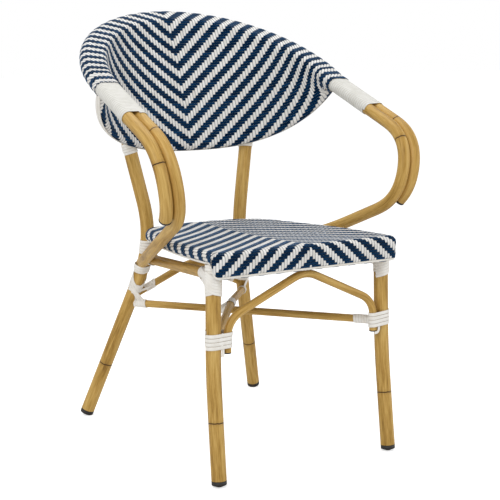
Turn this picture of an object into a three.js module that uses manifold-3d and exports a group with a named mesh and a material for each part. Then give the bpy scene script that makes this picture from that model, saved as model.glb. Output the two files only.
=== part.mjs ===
// Bistro armchair: bent aluminium tubes painted like bamboo, with a seat and a
// back of two-colour strands woven round the tubes, and strip wound on the joints.
// Millimetres, +Z up. The chair stands on z = 0, faces -Y and is even about x = 0.
// Left and right are those of the picture: left is -X.

import * as THREE from 'three';
import { mergeVertices } from 'three/addons/utils/BufferGeometryUtils.js';
import Module from 'manifold-3d';

const wasm = await Module();
wasm.setup();

// Clearances
const JOINT_GAP = 0.35;
const SLEEVE_GAP = 0.8;
const CUT_OVERRUN = 40;

// Tubes
const LEG_RADIUS = 15;
const ARM_TUBE_RADIUS = 12.7;
const ARM_TUBE_SPACE = 1;
const SEAT_TUBE_RADIUS = 10.5;
const SIDE_RAIL_RADIUS = 11;
const BRACE_RADIUS = 8;
const RIM_TUBE_RADIUS = 6.35;
const APRON_RAIL_RADIUS = 10.5;
const ARM_BORE_RADIUS = 10.3;
const BRACE_BORE_RADIUS = 6;
const BORE_DEPTH = 16;

// Front legs: a straight foot length, one gentle bend, then nearly upright
const FRONT_FOOT_X = 206.3;
const FRONT_FOOT_Y = -232.2;
const FRONT_KNEE_X = 203.5;
const FRONT_KNEE_Y = -205.8;
const FRONT_KNEE_Z = 225;
const FRONT_KNEE_REACH = 60;
const FRONT_TOP_X = 200.3;
const FRONT_TOP_Y = -202.5;

// Rear legs: splayed foot length, one bend under the seat, then a post up to the hoop
const REAR_FOOT_X = 229;
const REAR_FOOT_Y = 337;
const REAR_BEND_X = 109.6;
const REAR_BEND_Y = 217.9;
const REAR_BEND_Z = 412;
const REAR_BEND_REACH = 92;
const POST_TOP_X = 200;
const POST_TOP_Y = 282;
const POST_TOP_Z = 868;

// Hoop of the back: half an ellipse in plan, lying in a plane that rises to the rear
const HOOP_CENTRE_Y = 93;
const HOOP_SIDE_Z = 765;
const HOOP_HALF_WIDTH = 270.5;
const HOOP_DEPTH = 222.5;
const HOOP_RISE = 124.8;

// Arms: the inner tube of the pair runs forward, down in a loop and back to the rear leg.
// It spreads from the width of the hoop and draws in again below.
const ARM_MIDDLE_SPREAD = 6.2;
const ARM_MIDDLE_Y = -60.3;
const ARM_MIDDLE_Z = 702.8;
const ARM_MIDDLE_REACH = 20;
const ARM_FRONT_SPREAD = 10.7;
const ARM_FRONT_Y = -190;
const ARM_FRONT_Z = 651;
const ARM_FRONT_REACH = 76;
const ARM_LOW_DRAW_IN = 13.8;
const ARM_LOW_Y = -184;
const ARM_LOW_Z = 521.5;
const ARM_LOW_REACH = 55;
const ARM_KNEE_X = 215.5;
const ARM_KNEE_Y = 0;
const ARM_KNEE_Z = 440;
const ARM_KNEE_REACH = 60;
const ARM_FOOT_X = 133;
const ARM_FOOT_Y = 228;
const ARM_FOOT_Z = 364;
const OUTER_TUBE_END_RISE_SHARE = 0.0425;

// Lower rim of the back
const RIM_CENTRE_Y = 70;
const RIM_OVERHANG = 15.5;
const RIM_DEPTH = 169;
const RIM_Z = 617.6;
const RIM_RISE = 160;
const RIM_PLAN_POWER = 2.2;
const RIM_RISE_POWER = 1.15;

// Seat: straight front, sides that draw in, rounded rear; it falls to the rear.
// SEAT_SIDE holds the x and y of places along the right edge, from front to rear.
const SEAT_FRONT_Y = -240;
const SEAT_HALF_WIDTH = 218.5;
const SEAT_CORNER_RADIUS = 12;
const SEAT_TUBE_CORNER_RADIUS = 8;
const SEAT_SIDE = [
  [218.5, -217], [217, -150], [213, -90], [206, -40], [197.5, 5], [189.5, 40], [178, 90],
  [166, 148], [146, 183], [107, 205], [55, 215.5],
];
const SEAT_REAR_Y = 218;
const SEAT_FRONT_Z = 458;
const SEAT_REAR_Z = 449;
const SEAT_SAG = 5;
const APRON_HEIGHT = 54;
const APRON_RETURN = 20;

// Woven sheets
const WEAVE_THICKNESS = 2.6;

// Side rails, rear rail, braces and stretchers under the seat
const SIDE_RAIL_FRONT_Z = 411;
const SIDE_RAIL_REAR_X = 122;
const SIDE_RAIL_REAR_Z = 373;
const FRONT_BRACE_X = 176;
const FRONT_BRACE_Y = -212.5;
const FRONT_BRACE_END_Z = 259.5;
const FRONT_BRACE_SHOULDER_Z = 322;
const FRONT_BRACE_SHOULDER_REACH = 36;
const FRONT_BRACE_APEX_Y = -219;
const FRONT_BRACE_APEX_Z = 402.5;
const REAR_BRACE_END_Z = 284;
const REAR_BRACE_APEX_Y = 231;
const REAR_BRACE_APEX_Z = 357;
const BRACE_APEX_REACH = 30;
const STRETCHER_REAR_Z = 269.5;
const STRETCHER_FRONT_Z = 275.5;
const STRETCHER_ARCH_REACH = 60;

// Plastic caps
const FOOT_PLUG_HEAD = 10;
const FOOT_LEVEL_CUT = 2.6;
const FOOT_EDGE = 1.2;
const FOOT_BORE_RADIUS = 11.5;
const PLUG_HEAD = 2.6;
const PLUG_STEM_GAP = 0.4;
const PLUG_EDGE = 0.8;

// Wound strip
const STRIP_WIDTH = 5.6;
const STRIP_THICKNESS = 1.4;
const STRIP_PITCH = 6.5;
const ARM_WRAP_FRONT_Y = -54;
const ARM_WRAP_LOOPS = 21;
const LEG_WRAP_BOTTOM_Z = 369;
const LEG_WRAP_LOOPS = 4;
const LASHING_BOTTOM_Z = 265;
const LASHING_LOOPS = 5;
const JOINT_WRAP_BOTTOM_Z = 309;
const JOINT_WRAP_LOOPS = 5;
const POST_WRAP_BOTTOM_Z = 598;
const POST_WRAP_LOOPS = 2;
const CROSS_LASHING_LOOPS = 4;
const END_WRAP_LOOPS = 4;
const END_WRAP_INSET = 24;

// Counts: sides of the round pieces and steps along them
const LEG_SIDES = 10;
const ARM_TUBE_SIDES = 10;
const SMALL_TUBE_SIDES = 8;
const WRAP_SIDES = 8;
const HOOP_POINTS = 10;
const ARM_POINTS = 26;
const INNER_TUBE_STEPS = 78;
const OUTER_TUBE_STEPS = 62;
const REAR_LEG_STEPS = 20;
const FRONT_LEG_STEPS = 10;
const FRONT_BRACE_STEPS = 26;
const REAR_BRACE_STEPS = 16;
const RIM_STATIONS = 28;
const SLEEVE_STATIONS = 30;
const CAP_SIDES = 14;

// Colours
const BAMBOO = { color: 0xc39a58, roughness: 0.35, metalness: 0.1 };
const BLACK_PLASTIC = { color: 0x17130f, roughness: 0.55, metalness: 0 };
const WHITE_STRIP = { color: 0xe9e5da, roughness: 0.5, metalness: 0 };
const WOVEN_STRAND = { color: 0x5b6a82, roughness: 0.6, metalness: 0 };

const RIGHT_ANGLE = Math.PI / 2;
const FULL_TURN = Math.PI * 2;
const UP = new THREE.Vector3(0, 0, 1);

const SLEEVE_OUTER_RADIUS = SEAT_TUBE_RADIUS + SLEEVE_GAP + WEAVE_THICKNESS;
const ARM_TUBE_PITCH = ARM_TUBE_RADIUS * 2 + ARM_TUBE_SPACE;

const chair = new THREE.Group();

function point(x, y, z) {
  return new THREE.Vector3(x, y, z);
}

function addPiece(name, geometry, finish) {
  const piece = new THREE.Mesh(geometry, new THREE.MeshStandardMaterial(finish));
  piece.name = name;
  chair.add(piece);
  return piece;
}

// One piece for each side; side is -1 on the left and +1 on the right
function forBothSides(makePiece) {
  makePiece('left', -1);
  makePiece('right', 1);
}

// A tube's centreline: straight lengths between corners, each corner bent over its reach.
// Where two bends would run into each other, both are drawn in until they fit.
const BEND_ROOM_SHARE = 0.995;

function bentPath(corners, reaches) {
  const path = new THREE.CurvePath();
  const fits = [];
  for (let i = 0; i < corners.length - 1; i += 1) {
    const wanted = (i > 0 ? reaches[i - 1] : 0) + (i < reaches.length ? reaches[i] : 0);
    fits.push(Math.min(1, (corners[i].distanceTo(corners[i + 1]) * BEND_ROOM_SHARE) / wanted));
  }
  let from = corners[0];
  for (let i = 1; i < corners.length - 1; i += 1) {
    const corner = corners[i];
    const reach = reaches[i - 1] * Math.min(fits[i - 1], fits[i]);
    const towardsPrevious = corners[i - 1].clone().sub(corner).normalize();
    const towardsNext = corners[i + 1].clone().sub(corner).normalize();
    const bendStart = corner.clone().addScaledVector(towardsPrevious, reach);
    const bendEnd = corner.clone().addScaledVector(towardsNext, reach);
    path.add(new THREE.LineCurve3(from, bendStart));
    path.add(new THREE.QuadraticBezierCurve3(bendStart, corner, bendEnd));
    from = bendEnd;
  }
  path.add(new THREE.LineCurve3(from, corners[corners.length - 1]));
  return path;
}

function roundBar(path, radius, sides, steps) {
  const section = new THREE.Shape();
  section.absarc(0, 0, radius, 0, FULL_TURN, false);
  return new THREE.ExtrudeGeometry(section, {
    extrudePath: path,
    steps,
    curveSegments: sides / 2,
    bevelEnabled: false,
  });
}

// A closed mesh from vertices and triangles, turned so that its faces point outwards
function closedBody(vertices, triangles) {
  const corner = (index) => vertices[index];
  let volume = 0;
  for (const [a, b, c] of triangles) {
    volume += corner(a).dot(corner(b).clone().cross(corner(c)));
  }
  const ordered = triangles.map(([a, b, c]) => (volume > 0 ? [a, b, c] : [a, c, b]));
  const geometry = new THREE.BufferGeometry();
  geometry.setAttribute('position', new THREE.Float32BufferAttribute(
    vertices.flatMap((v) => [v.x, v.y, v.z]), 3));
  geometry.setIndex(ordered.flat());
  return geometry;
}

// A body through sections that all have the same number of points. The ends are
// closed with the triangles of the section's outline, which is given flat.
function loft(sections, flatFirst, flatLast) {
  const count = sections[0].length;
  const vertices = sections.flat();
  const triangles = [];
  for (let i = 0; i < sections.length - 1; i += 1) {
    for (let j = 0; j < count; j += 1) {
      const next = (j + 1) % count;
      const a = i * count + j;
      const b = i * count + next;
      triangles.push([a, b, b + count], [a, b + count, a + count]);
    }
  }
  const lastStart = (sections.length - 1) * count;
  const closeEnd = (flat, start, flip) => {
    for (const [a, b, c] of THREE.ShapeUtils.triangulateShape(flat, [])) {
      triangles.push(flip ? [start + a, start + b, start + c] : [start + c, start + b, start + a]);
    }
  };
  const turnsLeft = (flat) => THREE.ShapeUtils.area(flat) > 0;
  closeEnd(flatFirst, 0, !turnsLeft(flatFirst));
  closeEnd(flatLast, lastStart, turnsLeft(flatLast));
  return closedBody(vertices, triangles);
}

function toSolid(geometry) {
  const bare = geometry.clone();
  bare.deleteAttribute('normal');
  bare.deleteAttribute('uv');
  const merged = mergeVertices(bare);
  return new wasm.Manifold(new wasm.Mesh({
    numProp: 3,
    vertProperties: new Float32Array(merged.attributes.position.array),
    triVerts: new Uint32Array(merged.index.array),
  }));
}

function toGeometry(solid) {
  const mesh = solid.getMesh();
  const geometry = new THREE.BufferGeometry();
  geometry.setAttribute('position', new THREE.Float32BufferAttribute(mesh.vertProperties, 3));
  geometry.setIndex(Array.from(mesh.triVerts));
  return geometry;
}

function cutAway(geometry, cutters) {
  let solid = toSolid(geometry);
  for (const cutter of cutters) {
    solid = solid.subtract(toSolid(cutter));
  }
  return toGeometry(solid);
}

// Front and rear legs. The front legs end under the woven band of the seat.

function frontLegTopZ() {
  const bandBottom = seatTopHeight(FRONT_TOP_Y - LEG_RADIUS) - SLEEVE_OUTER_RADIUS * 2;
  return bandBottom - JOINT_GAP * 2;
}

function frontLegPath(side) {
  return bentPath([
    point(side * FRONT_FOOT_X, FRONT_FOOT_Y, 0),
    point(side * FRONT_KNEE_X, FRONT_KNEE_Y, FRONT_KNEE_Z),
    point(side * FRONT_TOP_X, FRONT_TOP_Y, frontLegTopZ()),
  ], [FRONT_KNEE_REACH]);
}

function rearLegPath(side) {
  return bentPath([
    point(side * REAR_FOOT_X, REAR_FOOT_Y, 0),
    point(side * REAR_BEND_X, REAR_BEND_Y, REAR_BEND_Z),
    point(side * POST_TOP_X, POST_TOP_Y, POST_TOP_Z),
  ], [REAR_BEND_REACH]);
}

// The place on a path at a height, for paths that only climb
function placeAtHeight(path, height) {
  let low = 0;
  let high = 1;
  for (let i = 0; i < 40; i += 1) {
    const middle = (low + high) / 2;
    if (path.getPointAt(middle).z < height) low = middle;
    else high = middle;
  }
  return (low + high) / 2;
}

// The part of a path between two shares of its length
class PathPart extends THREE.Curve {
  constructor(path, from, to) {
    super();
    this.path = path;
    this.from = from;
    this.to = to;
  }

  getPoint(share, target = new THREE.Vector3()) {
    return target.copy(this.path.getPointAt(this.from + (this.to - this.from) * share));
  }
}

// Seat outline in plan, at an inset from the edge: one half, from front centre to rear centre
const SEAT_CORNER_POINTS = 3;
const SEAT_SIDE_POINTS = 13;

function seatHalfOutline(inset, cornerRadius) {
  const half = [];
  const bend = Math.max(cornerRadius - inset, 1);
  const cornerX = SEAT_HALF_WIDTH - inset - bend;
  const cornerY = SEAT_FRONT_Y + inset + bend;
  half.push([0, cornerY - bend], [cornerX / 2, cornerY - bend]);
  for (let i = 0; i <= SEAT_CORNER_POINTS; i += 1) {
    const angle = (i / SEAT_CORNER_POINTS) * RIGHT_ANGLE;
    half.push([cornerX + bend * Math.sin(angle), cornerY - bend * Math.cos(angle)]);
  }
  const stations = [...SEAT_SIDE, [0, SEAT_REAR_Y]].map(([x, y]) => point(x, y, 0));
  const mirrored = SEAT_SIDE.slice(-2).reverse().map(([x, y]) => point(-x, y, 0));
  const side = new THREE.CatmullRomCurve3([...stations, ...mirrored], false, 'centripetal');
  const rearShare = (stations.length - 1) / (stations.length - 1 + mirrored.length);
  for (let i = 0; i <= SEAT_SIDE_POINTS; i += 1) {
    const share = (i / SEAT_SIDE_POINTS) * rearShare;
    const place = side.getPoint(share);
    const along = side.getTangent(share);
    half.push([place.x - along.y * inset, place.y + along.x * inset]);
  }
  half[half.length - 1][0] = 0;
  return half;
}

// The whole outline, once round from the front centre by way of the right side
function seatOutline(inset, cornerRadius = SEAT_CORNER_RADIUS) {
  const half = seatHalfOutline(inset, cornerRadius);
  const mirrored = half.slice(1, -1).reverse().map(([x, y]) => [-x, y]);
  return [...half, ...mirrored];
}

function seatTopHeight(y) {
  const share = (y - SEAT_FRONT_Y) / (SEAT_REAR_Y - SEAT_FRONT_Y);
  return THREE.MathUtils.lerp(SEAT_FRONT_Z, SEAT_REAR_Z, share);
}

// The seat's bent tube follows the same places as the woven band round it
function seatTubeBody() {
  const cornerRadius = SLEEVE_OUTER_RADIUS + SEAT_TUBE_CORNER_RADIUS;
  const middle = seatOutline(SLEEVE_OUTER_RADIUS, cornerRadius);
  const outside = seatOutline(SLEEVE_OUTER_RADIUS - SEAT_TUBE_RADIUS, cornerRadius);
  const rings = middle.map(([x, y], i) => {
    const centre = point(x, y, seatTopHeight(y) - SLEEVE_OUTER_RADIUS);
    const outward = point(outside[i][0] - x, outside[i][1] - y, 0).normalize();
    const ring = [];
    for (let j = 0; j < SMALL_TUBE_SIDES; j += 1) {
      const angle = (j / SMALL_TUBE_SIDES) * FULL_TURN;
      ring.push(centre.clone().addScaledVector(outward, SEAT_TUBE_RADIUS * Math.cos(angle))
        .addScaledVector(UP, SEAT_TUBE_RADIUS * Math.sin(angle)));
    }
    return ring;
  });
  const triangles = [];
  for (let i = 0; i < rings.length; i += 1) {
    const nextRing = ((i + 1) % rings.length) * SMALL_TUBE_SIDES;
    for (let j = 0; j < SMALL_TUBE_SIDES; j += 1) {
      const next = (j + 1) % SMALL_TUBE_SIDES;
      const a = i * SMALL_TUBE_SIDES + j;
      const b = i * SMALL_TUBE_SIDES + next;
      triangles.push([a, b, nextRing + next], [a, nextRing + next, nextRing + j]);
    }
  }
  return closedBody(rings.flat(), triangles);
}

// Windings: a flat strip laid in one unbroken helix round a bundle of round bars.
// bars gives the bars' centres and radii in the plane across the axis. The strip follows
// the corners of a polygon that stands off from the whole bundle.

function wrapOutline(bars, standOff, sides) {
  const reachOf = (direction) => Math.max(
    ...bars.map((bar) => bar.x * direction.x + bar.y * direction.y + bar.radius)) + standOff;
  const edges = [];
  for (let i = 0; i <= sides; i += 1) {
    const angle = (i / sides) * FULL_TURN;
    const direction = new THREE.Vector2(Math.cos(angle), Math.sin(angle));
    edges.push({ direction, reach: reachOf(direction) });
  }
  const turn = Math.sin(FULL_TURN / sides);
  const corners = [];
  for (let i = 0; i < sides; i += 1) {
    const here = edges[i];
    const next = edges[i + 1];
    corners.push(new THREE.Vector2(
      (here.reach * next.direction.y - next.reach * here.direction.y) / turn,
      (next.reach * here.direction.x - here.reach * next.direction.x) / turn,
    ));
  }
  return corners;
}

function axisFrame(axis, across, share) {
  const along = axis.getTangentAt(share).normalize();
  const first = across.clone().addScaledVector(along, -across.dot(along)).normalize();
  const second = along.clone().cross(first);
  return { origin: axis.getPointAt(share), along, first, second };
}

// Every winding's least gap between neighbouring loops, measured on its corner points
function leastLoopGap(sections, stepsPerLoop) {
  let least = Infinity;
  for (let i = stepsPerLoop; i < sections.length; i += 1) {
    const upper = new THREE.Line3(sections[i][0], sections[i][1]);
    const lowerEnd = sections[i - stepsPerLoop];
    for (const corner of [lowerEnd[2], lowerEnd[3]]) {
      const nearest = upper.closestPointToPoint(corner, true, new THREE.Vector3());
      least = Math.min(least, nearest.distanceTo(corner));
    }
  }
  return least;
}

function woundStrip(name, axis, across, startLength, loops, stepsPerLoop, barsAt) {
  const length = axis.getLength();
  const sections = [];
  for (let i = 0; i <= loops * stepsPerLoop; i += 1) {
    const share = (startLength + (i / stepsPerLoop) * STRIP_PITCH) / length;
    const frame = axisFrame(axis, across, share);
    const bars = barsAt(share);
    const cornerAt = (standOff, on) => {
      const flat = wrapOutline(bars, standOff, stepsPerLoop)[i % stepsPerLoop];
      return frame.origin.clone().addScaledVector(frame.first, flat.x)
        .addScaledVector(frame.second, flat.y)
        .addScaledVector(frame.along, (on * STRIP_WIDTH) / 2);
    };
    const under = JOINT_GAP;
    const over = JOINT_GAP + STRIP_THICKNESS;
    sections.push([cornerAt(under, -1), cornerAt(over, -1), cornerAt(over, 1), cornerAt(under, 1)]);
  }
  const gap = leastLoopGap(sections, stepsPerLoop);
  console.log(`${name}: least gap between its loops ${gap.toFixed(2)} mm`);
  const flatEnd = [[-1, -1], [1, -1], [1, 1], [-1, 1]].map(([x, y]) => new THREE.Vector2(x, y));
  addPiece(name, loft(sections, flatEnd, flatEnd), WHITE_STRIP);
}

function singleBar(radius) {
  return () => [{ x: 0, y: 0, radius }];
}

// Hoop and arms. The inner tube's path is worked out for the right half and mirrored.

function hoopPoint(angle) {
  return point(
    HOOP_HALF_WIDTH * Math.sin(angle),
    HOOP_CENTRE_Y + HOOP_DEPTH * Math.cos(angle),
    HOOP_SIDE_Z + HOOP_RISE * Math.cos(angle),
  );
}

function innerTubePath() {
  const half = [];
  for (let i = 0; i <= HOOP_POINTS; i += 1) {
    half.push(hoopPoint((i / HOOP_POINTS) * RIGHT_ANGLE));
  }
  const arm = bentPath([
    half[half.length - 1],
    point(HOOP_HALF_WIDTH + ARM_MIDDLE_SPREAD, ARM_MIDDLE_Y, ARM_MIDDLE_Z),
    point(HOOP_HALF_WIDTH + ARM_FRONT_SPREAD, ARM_FRONT_Y, ARM_FRONT_Z),
    point(HOOP_HALF_WIDTH - ARM_LOW_DRAW_IN, ARM_LOW_Y, ARM_LOW_Z),
    point(ARM_KNEE_X, ARM_KNEE_Y, ARM_KNEE_Z),
    point(ARM_FOOT_X, ARM_FOOT_Y, ARM_FOOT_Z),
  ], [ARM_MIDDLE_REACH, ARM_FRONT_REACH, ARM_LOW_REACH, ARM_KNEE_REACH]);
  half.push(...arm.getSpacedPoints(ARM_POINTS).slice(1));
  const mirrored = half.slice(1).reverse().map((p) => point(-p.x, p.y, p.z));
  const path = new THREE.CatmullRomCurve3([...mirrored, ...half], false, 'centripetal');
  path.arcLengthDivisions = 800;
  return path;
}

const innerPath = innerTubePath();

// The direction from the inner tube to the outer one, at a share of the inner path
function outwardAt(share) {
  const place = innerPath.getPointAt(share);
  const along = innerPath.getTangentAt(share);
  const outward = point(Math.sign(place.x), 0, 0);
  if (place.y > HOOP_CENTRE_Y) {
    const slopeLength = Math.hypot(HOOP_DEPTH, HOOP_RISE);
    const back = (place.y - HOOP_CENTRE_Y) / HOOP_DEPTH / slopeLength;
    outward.set(
      place.x / HOOP_HALF_WIDTH / HOOP_HALF_WIDTH,
      (back * HOOP_DEPTH) / slopeLength,
      (back * HOOP_RISE) / slopeLength,
    );
  }
  return outward.addScaledVector(along, -outward.dot(along)).normalize();
}

// The share of the inner path, from its left foot, where it reaches a height
const outerTubeEndZ = THREE.MathUtils.lerp(ARM_LOW_Z, ARM_FRONT_Z, OUTER_TUBE_END_RISE_SHARE);
const outerTubeStart = placeAtHeight(new PathPart(innerPath, 0, 1 / 2), outerTubeEndZ) / 2;

function outerTubePath() {
  const points = [];
  const count = OUTER_TUBE_STEPS * 2;
  for (let i = 0; i <= count; i += 1) {
    const share = THREE.MathUtils.lerp(outerTubeStart, 1 - outerTubeStart, i / count);
    points.push(innerPath.getPointAt(share).addScaledVector(outwardAt(share), ARM_TUBE_PITCH));
  }
  const path = new THREE.CatmullRomCurve3(points, false, 'centripetal');
  path.arcLengthDivisions = 800;
  return path;
}

const outerPath = outerTubePath();

function innerTubeCutter() {
  return roundBar(innerPath, ARM_TUBE_RADIUS + JOINT_GAP, ARM_TUBE_SIDES, INNER_TUBE_STEPS);
}

function outerTubeCutter() {
  return roundBar(outerPath, ARM_TUBE_RADIUS + JOINT_GAP, ARM_TUBE_SIDES, OUTER_TUBE_STEPS);
}

// The body of a leg above its foot plug. A cutter for it runs to the end of the path, and
// the leg itself stops short of that by the joint gap.
function legBody(path, radius, steps, endShare) {
  const start = (footHeadEnd(path) + JOINT_GAP) / path.getLength();
  return roundBar(new PathPart(path, start, endShare), radius, LEG_SIDES, steps);
}

function legCutter(path, steps) {
  return legBody(path, LEG_RADIUS + JOINT_GAP, steps, 1);
}

// The part of a body below a height
function below(geometry, height) {
  return toGeometry(toSolid(geometry).trimByPlane([0, 0, -1], -height));
}

// Legs and their foot plugs

function floorCutter() {
  const size = FRONT_KNEE_Z;
  const block = new THREE.BoxGeometry(size * 8, size * 8, CUT_OVERRUN);
  block.translate(0, 0, -CUT_OVERRUN / 2);
  return block;
}

function placedAlong(geometry, origin, direction) {
  geometry.applyQuaternion(new THREE.Quaternion().setFromUnitVectors(UP, direction));
  geometry.translate(origin.x, origin.y, origin.z);
  return geometry;
}

function revolved(profile, sides) {
  const lathe = new THREE.LatheGeometry(profile.map(([r, z]) => new THREE.Vector2(r, z)), sides);
  return lathe.rotateX(RIGHT_ANGLE);
}

// The black plug of a foot: its head carries on from the leg, square to it, and is cut
// level where it meets the floor. Its stem stands in the leg's bore.
function footHeadStart(path) {
  const direction = path.getTangentAt(0).normalize();
  const lean = Math.hypot(direction.x, direction.y);
  return Math.max(LEG_RADIUS * lean - FOOT_LEVEL_CUT, 0) / direction.z;
}

function footHeadEnd(path) {
  return footHeadStart(path) + FOOT_PLUG_HEAD;
}

function footPlug(name, path) {
  const stem = FOOT_BORE_RADIUS - PLUG_STEM_GAP;
  const start = footHeadStart(path);
  const end = footHeadEnd(path);
  const stemEnd = end + BORE_DEPTH;
  const body = revolved([
    [0, start],
    [LEG_RADIUS - FOOT_EDGE, start],
    [LEG_RADIUS, start + FOOT_EDGE],
    [LEG_RADIUS, end],
    [stem, end],
    [stem, stemEnd - PLUG_EDGE],
    [stem - PLUG_EDGE, stemEnd],
    [0, stemEnd],
  ], CAP_SIDES);
  const placed = placedAlong(body, path.getPointAt(0), path.getTangentAt(0).normalize());
  addPiece(name, cutAway(placed, [floorCutter()]), BLACK_PLASTIC);
}

// A leg above its foot plug, with the bore for the plug's stem
function boredLeg(path, steps) {
  const leg = legBody(path, LEG_RADIUS, steps, 1 - JOINT_GAP / path.getLength());
  const start = (footHeadEnd(path) + JOINT_GAP) / path.getLength();
  const bore = revolved([
    [0, -CUT_OVERRUN],
    [FOOT_BORE_RADIUS, -CUT_OVERRUN],
    [FOOT_BORE_RADIUS, BORE_DEPTH + JOINT_GAP * 2],
    [0, BORE_DEPTH + JOINT_GAP * 2],
  ], CAP_SIDES);
  const placed = placedAlong(
    bore, path.getPointAt(start), path.getTangentAt(start).normalize());
  return cutAway(leg, [placed]);
}

forBothSides((sideName, side) => {
  const path = frontLegPath(side);
  footPlug(`front_foot_cap_${sideName}`, path);
  addPiece(`front_leg_${sideName}`, boredLeg(path, FRONT_LEG_STEPS), BAMBOO);
});

forBothSides((sideName, side) => {
  const path = rearLegPath(side);
  footPlug(`rear_foot_cap_${sideName}`, path);
  addPiece(`rear_leg_${sideName}`, cutAway(
    boredLeg(path, REAR_LEG_STEPS), [innerTubeCutter(), outerTubeCutter()]), BAMBOO);
});

const rearLegCutters = [-1, 1].map((side) => legCutter(rearLegPath(side), REAR_LEG_STEPS));
const frontLegCutters = [-1, 1].map((side) => legCutter(frontLegPath(side), FRONT_LEG_STEPS));
const armFootCutters = rearLegCutters.map((cutter) => below(cutter, SEAT_REAR_Z));

// Push-in plug for an open tube end: a low domed head and a stem in the bore

function plug(name, end, outwards, tubeRadius, boreRadius) {
  const stem = boreRadius - PLUG_STEM_GAP;
  const profile = [
    [0, -BORE_DEPTH + PLUG_HEAD],
    [stem - PLUG_EDGE, -BORE_DEPTH + PLUG_HEAD],
    [stem, -BORE_DEPTH + PLUG_HEAD + PLUG_EDGE],
    [stem, JOINT_GAP],
    [tubeRadius, JOINT_GAP],
    [tubeRadius, JOINT_GAP + PLUG_HEAD - PLUG_EDGE],
    [tubeRadius - PLUG_EDGE, JOINT_GAP + PLUG_HEAD],
    [0, JOINT_GAP + PLUG_HEAD],
  ];
  addPiece(name, placedAlong(revolved(profile, CAP_SIDES), end, outwards), BLACK_PLASTIC);
}

function boreCutter(end, outwards, boreRadius) {
  const profile = [[0, -BORE_DEPTH], [boreRadius, -BORE_DEPTH], [boreRadius, CUT_OVERRUN],
    [0, CUT_OVERRUN]];
  return placedAlong(revolved(profile, CAP_SIDES), end, outwards);
}

// The two tubes of the hoop and arms

const innerTube = roundBar(innerPath, ARM_TUBE_RADIUS, ARM_TUBE_SIDES, INNER_TUBE_STEPS);
addPiece('inner_hoop_tube', cutAway(innerTube, armFootCutters), BAMBOO);

const outerTubeEnds = [
  { sideName: 'left', end: outerPath.getPointAt(0), outwards: outerPath.getTangentAt(0).negate() },
  { sideName: 'right', end: outerPath.getPointAt(1), outwards: outerPath.getTangentAt(1) },
];
const outerTube = roundBar(outerPath, ARM_TUBE_RADIUS, ARM_TUBE_SIDES, OUTER_TUBE_STEPS);
addPiece('outer_hoop_tube', cutAway(outerTube, outerTubeEnds.map(
  ({ end, outwards }) => boreCutter(end, outwards, ARM_BORE_RADIUS))), BAMBOO);
for (const { sideName, end, outwards } of outerTubeEnds) {
  plug(`arm_end_cap_${sideName}`, end, outwards, ARM_TUBE_RADIUS, ARM_BORE_RADIUS);
}

// Lower rim of the back, from under the hoop on one side to under it on the other.
// A share of 1 is the right tip, -1 the left tip and 0 the middle of the back.

const RIM_TIP_ANGLE_SHARE = 0.905;
const HOOP_TIP_ANGLE_SHARE = 0.975;
const PANEL_TIP_STATIONS = 1;
const PANEL_TIP_SHARE = 1 - (PANEL_TIP_STATIONS * 2) / RIM_STATIONS;

function rimPoint(share) {
  const angle = share * RIM_TIP_ANGLE_SHARE * RIGHT_ANGLE;
  const across = Math.abs(Math.sin(angle)) ** (2 / RIM_PLAN_POWER);
  const back = Math.cos(angle) ** (2 / RIM_PLAN_POWER);
  return point(
    Math.sign(share) * (HOOP_HALF_WIDTH + RIM_OVERHANG) * across,
    RIM_CENTRE_Y + RIM_DEPTH * back,
    RIM_Z + RIM_RISE * (1 - back) ** RIM_RISE_POWER,
  );
}

function panelTopPoint(share) {
  return hoopPoint(share * HOOP_TIP_ANGLE_SHARE * RIGHT_ANGLE);
}

// Places along the rim with their directions: along it, up the woven panel, and rearwards
function rimFrame(share) {
  const step = 0.01;
  const place = rimPoint(share);
  const along = rimPoint(share + step).sub(rimPoint(share - step)).normalize();
  const top = panelTopPoint(share);
  const ruling = top.clone().sub(place);
  const up = ruling.clone().addScaledVector(along, -ruling.dot(along)).normalize();
  const rearward = along.clone().cross(up).normalize();
  return { place, along, top, ruling, up, rearward };
}

function rimRing(share, radius) {
  const { place, up, rearward } = rimFrame(share);
  const ring = [];
  for (let i = 0; i < SMALL_TUBE_SIDES; i += 1) {
    const angle = (i / SMALL_TUBE_SIDES) * FULL_TURN;
    ring.push(place.clone().addScaledVector(rearward, radius * Math.cos(angle))
      .addScaledVector(up, radius * Math.sin(angle)));
  }
  return ring;
}

// The rim's last length runs in under the two tubes of the hoop
function rimTip(side, radius) {
  const last = rimRing(side, radius);
  const from = rimPoint(side);
  const to = panelTopPoint(side).add(point((side * ARM_TUBE_PITCH) / 2, 0, -RIM_TUBE_RADIUS));
  const shift = to.sub(from);
  return last.map((corner) => corner.clone().add(shift));
}

function rimBody(radius) {
  const rings = [rimTip(-1, radius)];
  for (let i = 0; i <= RIM_STATIONS; i += 1) {
    rings.push(rimRing(THREE.MathUtils.lerp(-1, 1, i / RIM_STATIONS), radius));
  }
  rings.push(rimTip(1, radius));
  const flat = [];
  for (let i = 0; i < SMALL_TUBE_SIDES; i += 1) {
    const angle = (i / SMALL_TUBE_SIDES) * FULL_TURN;
    flat.push(new THREE.Vector2(Math.cos(angle), Math.sin(angle)));
  }
  return loft(rings, flat, flat);
}

addPiece('back_lower_rim', cutAway(
  rimBody(RIM_TUBE_RADIUS), [innerTubeCutter(), outerTubeCutter()]), BAMBOO);

// Woven sleeve round the hoop's two tubes, open along a slot where the panel comes in.
// Its section is drawn with x from the inner tube to the outer one and y upwards.

const SLEEVE_ARC_POINTS = 5;
const SLEEVE_SLOT_ANGLE = 0.42;

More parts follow.
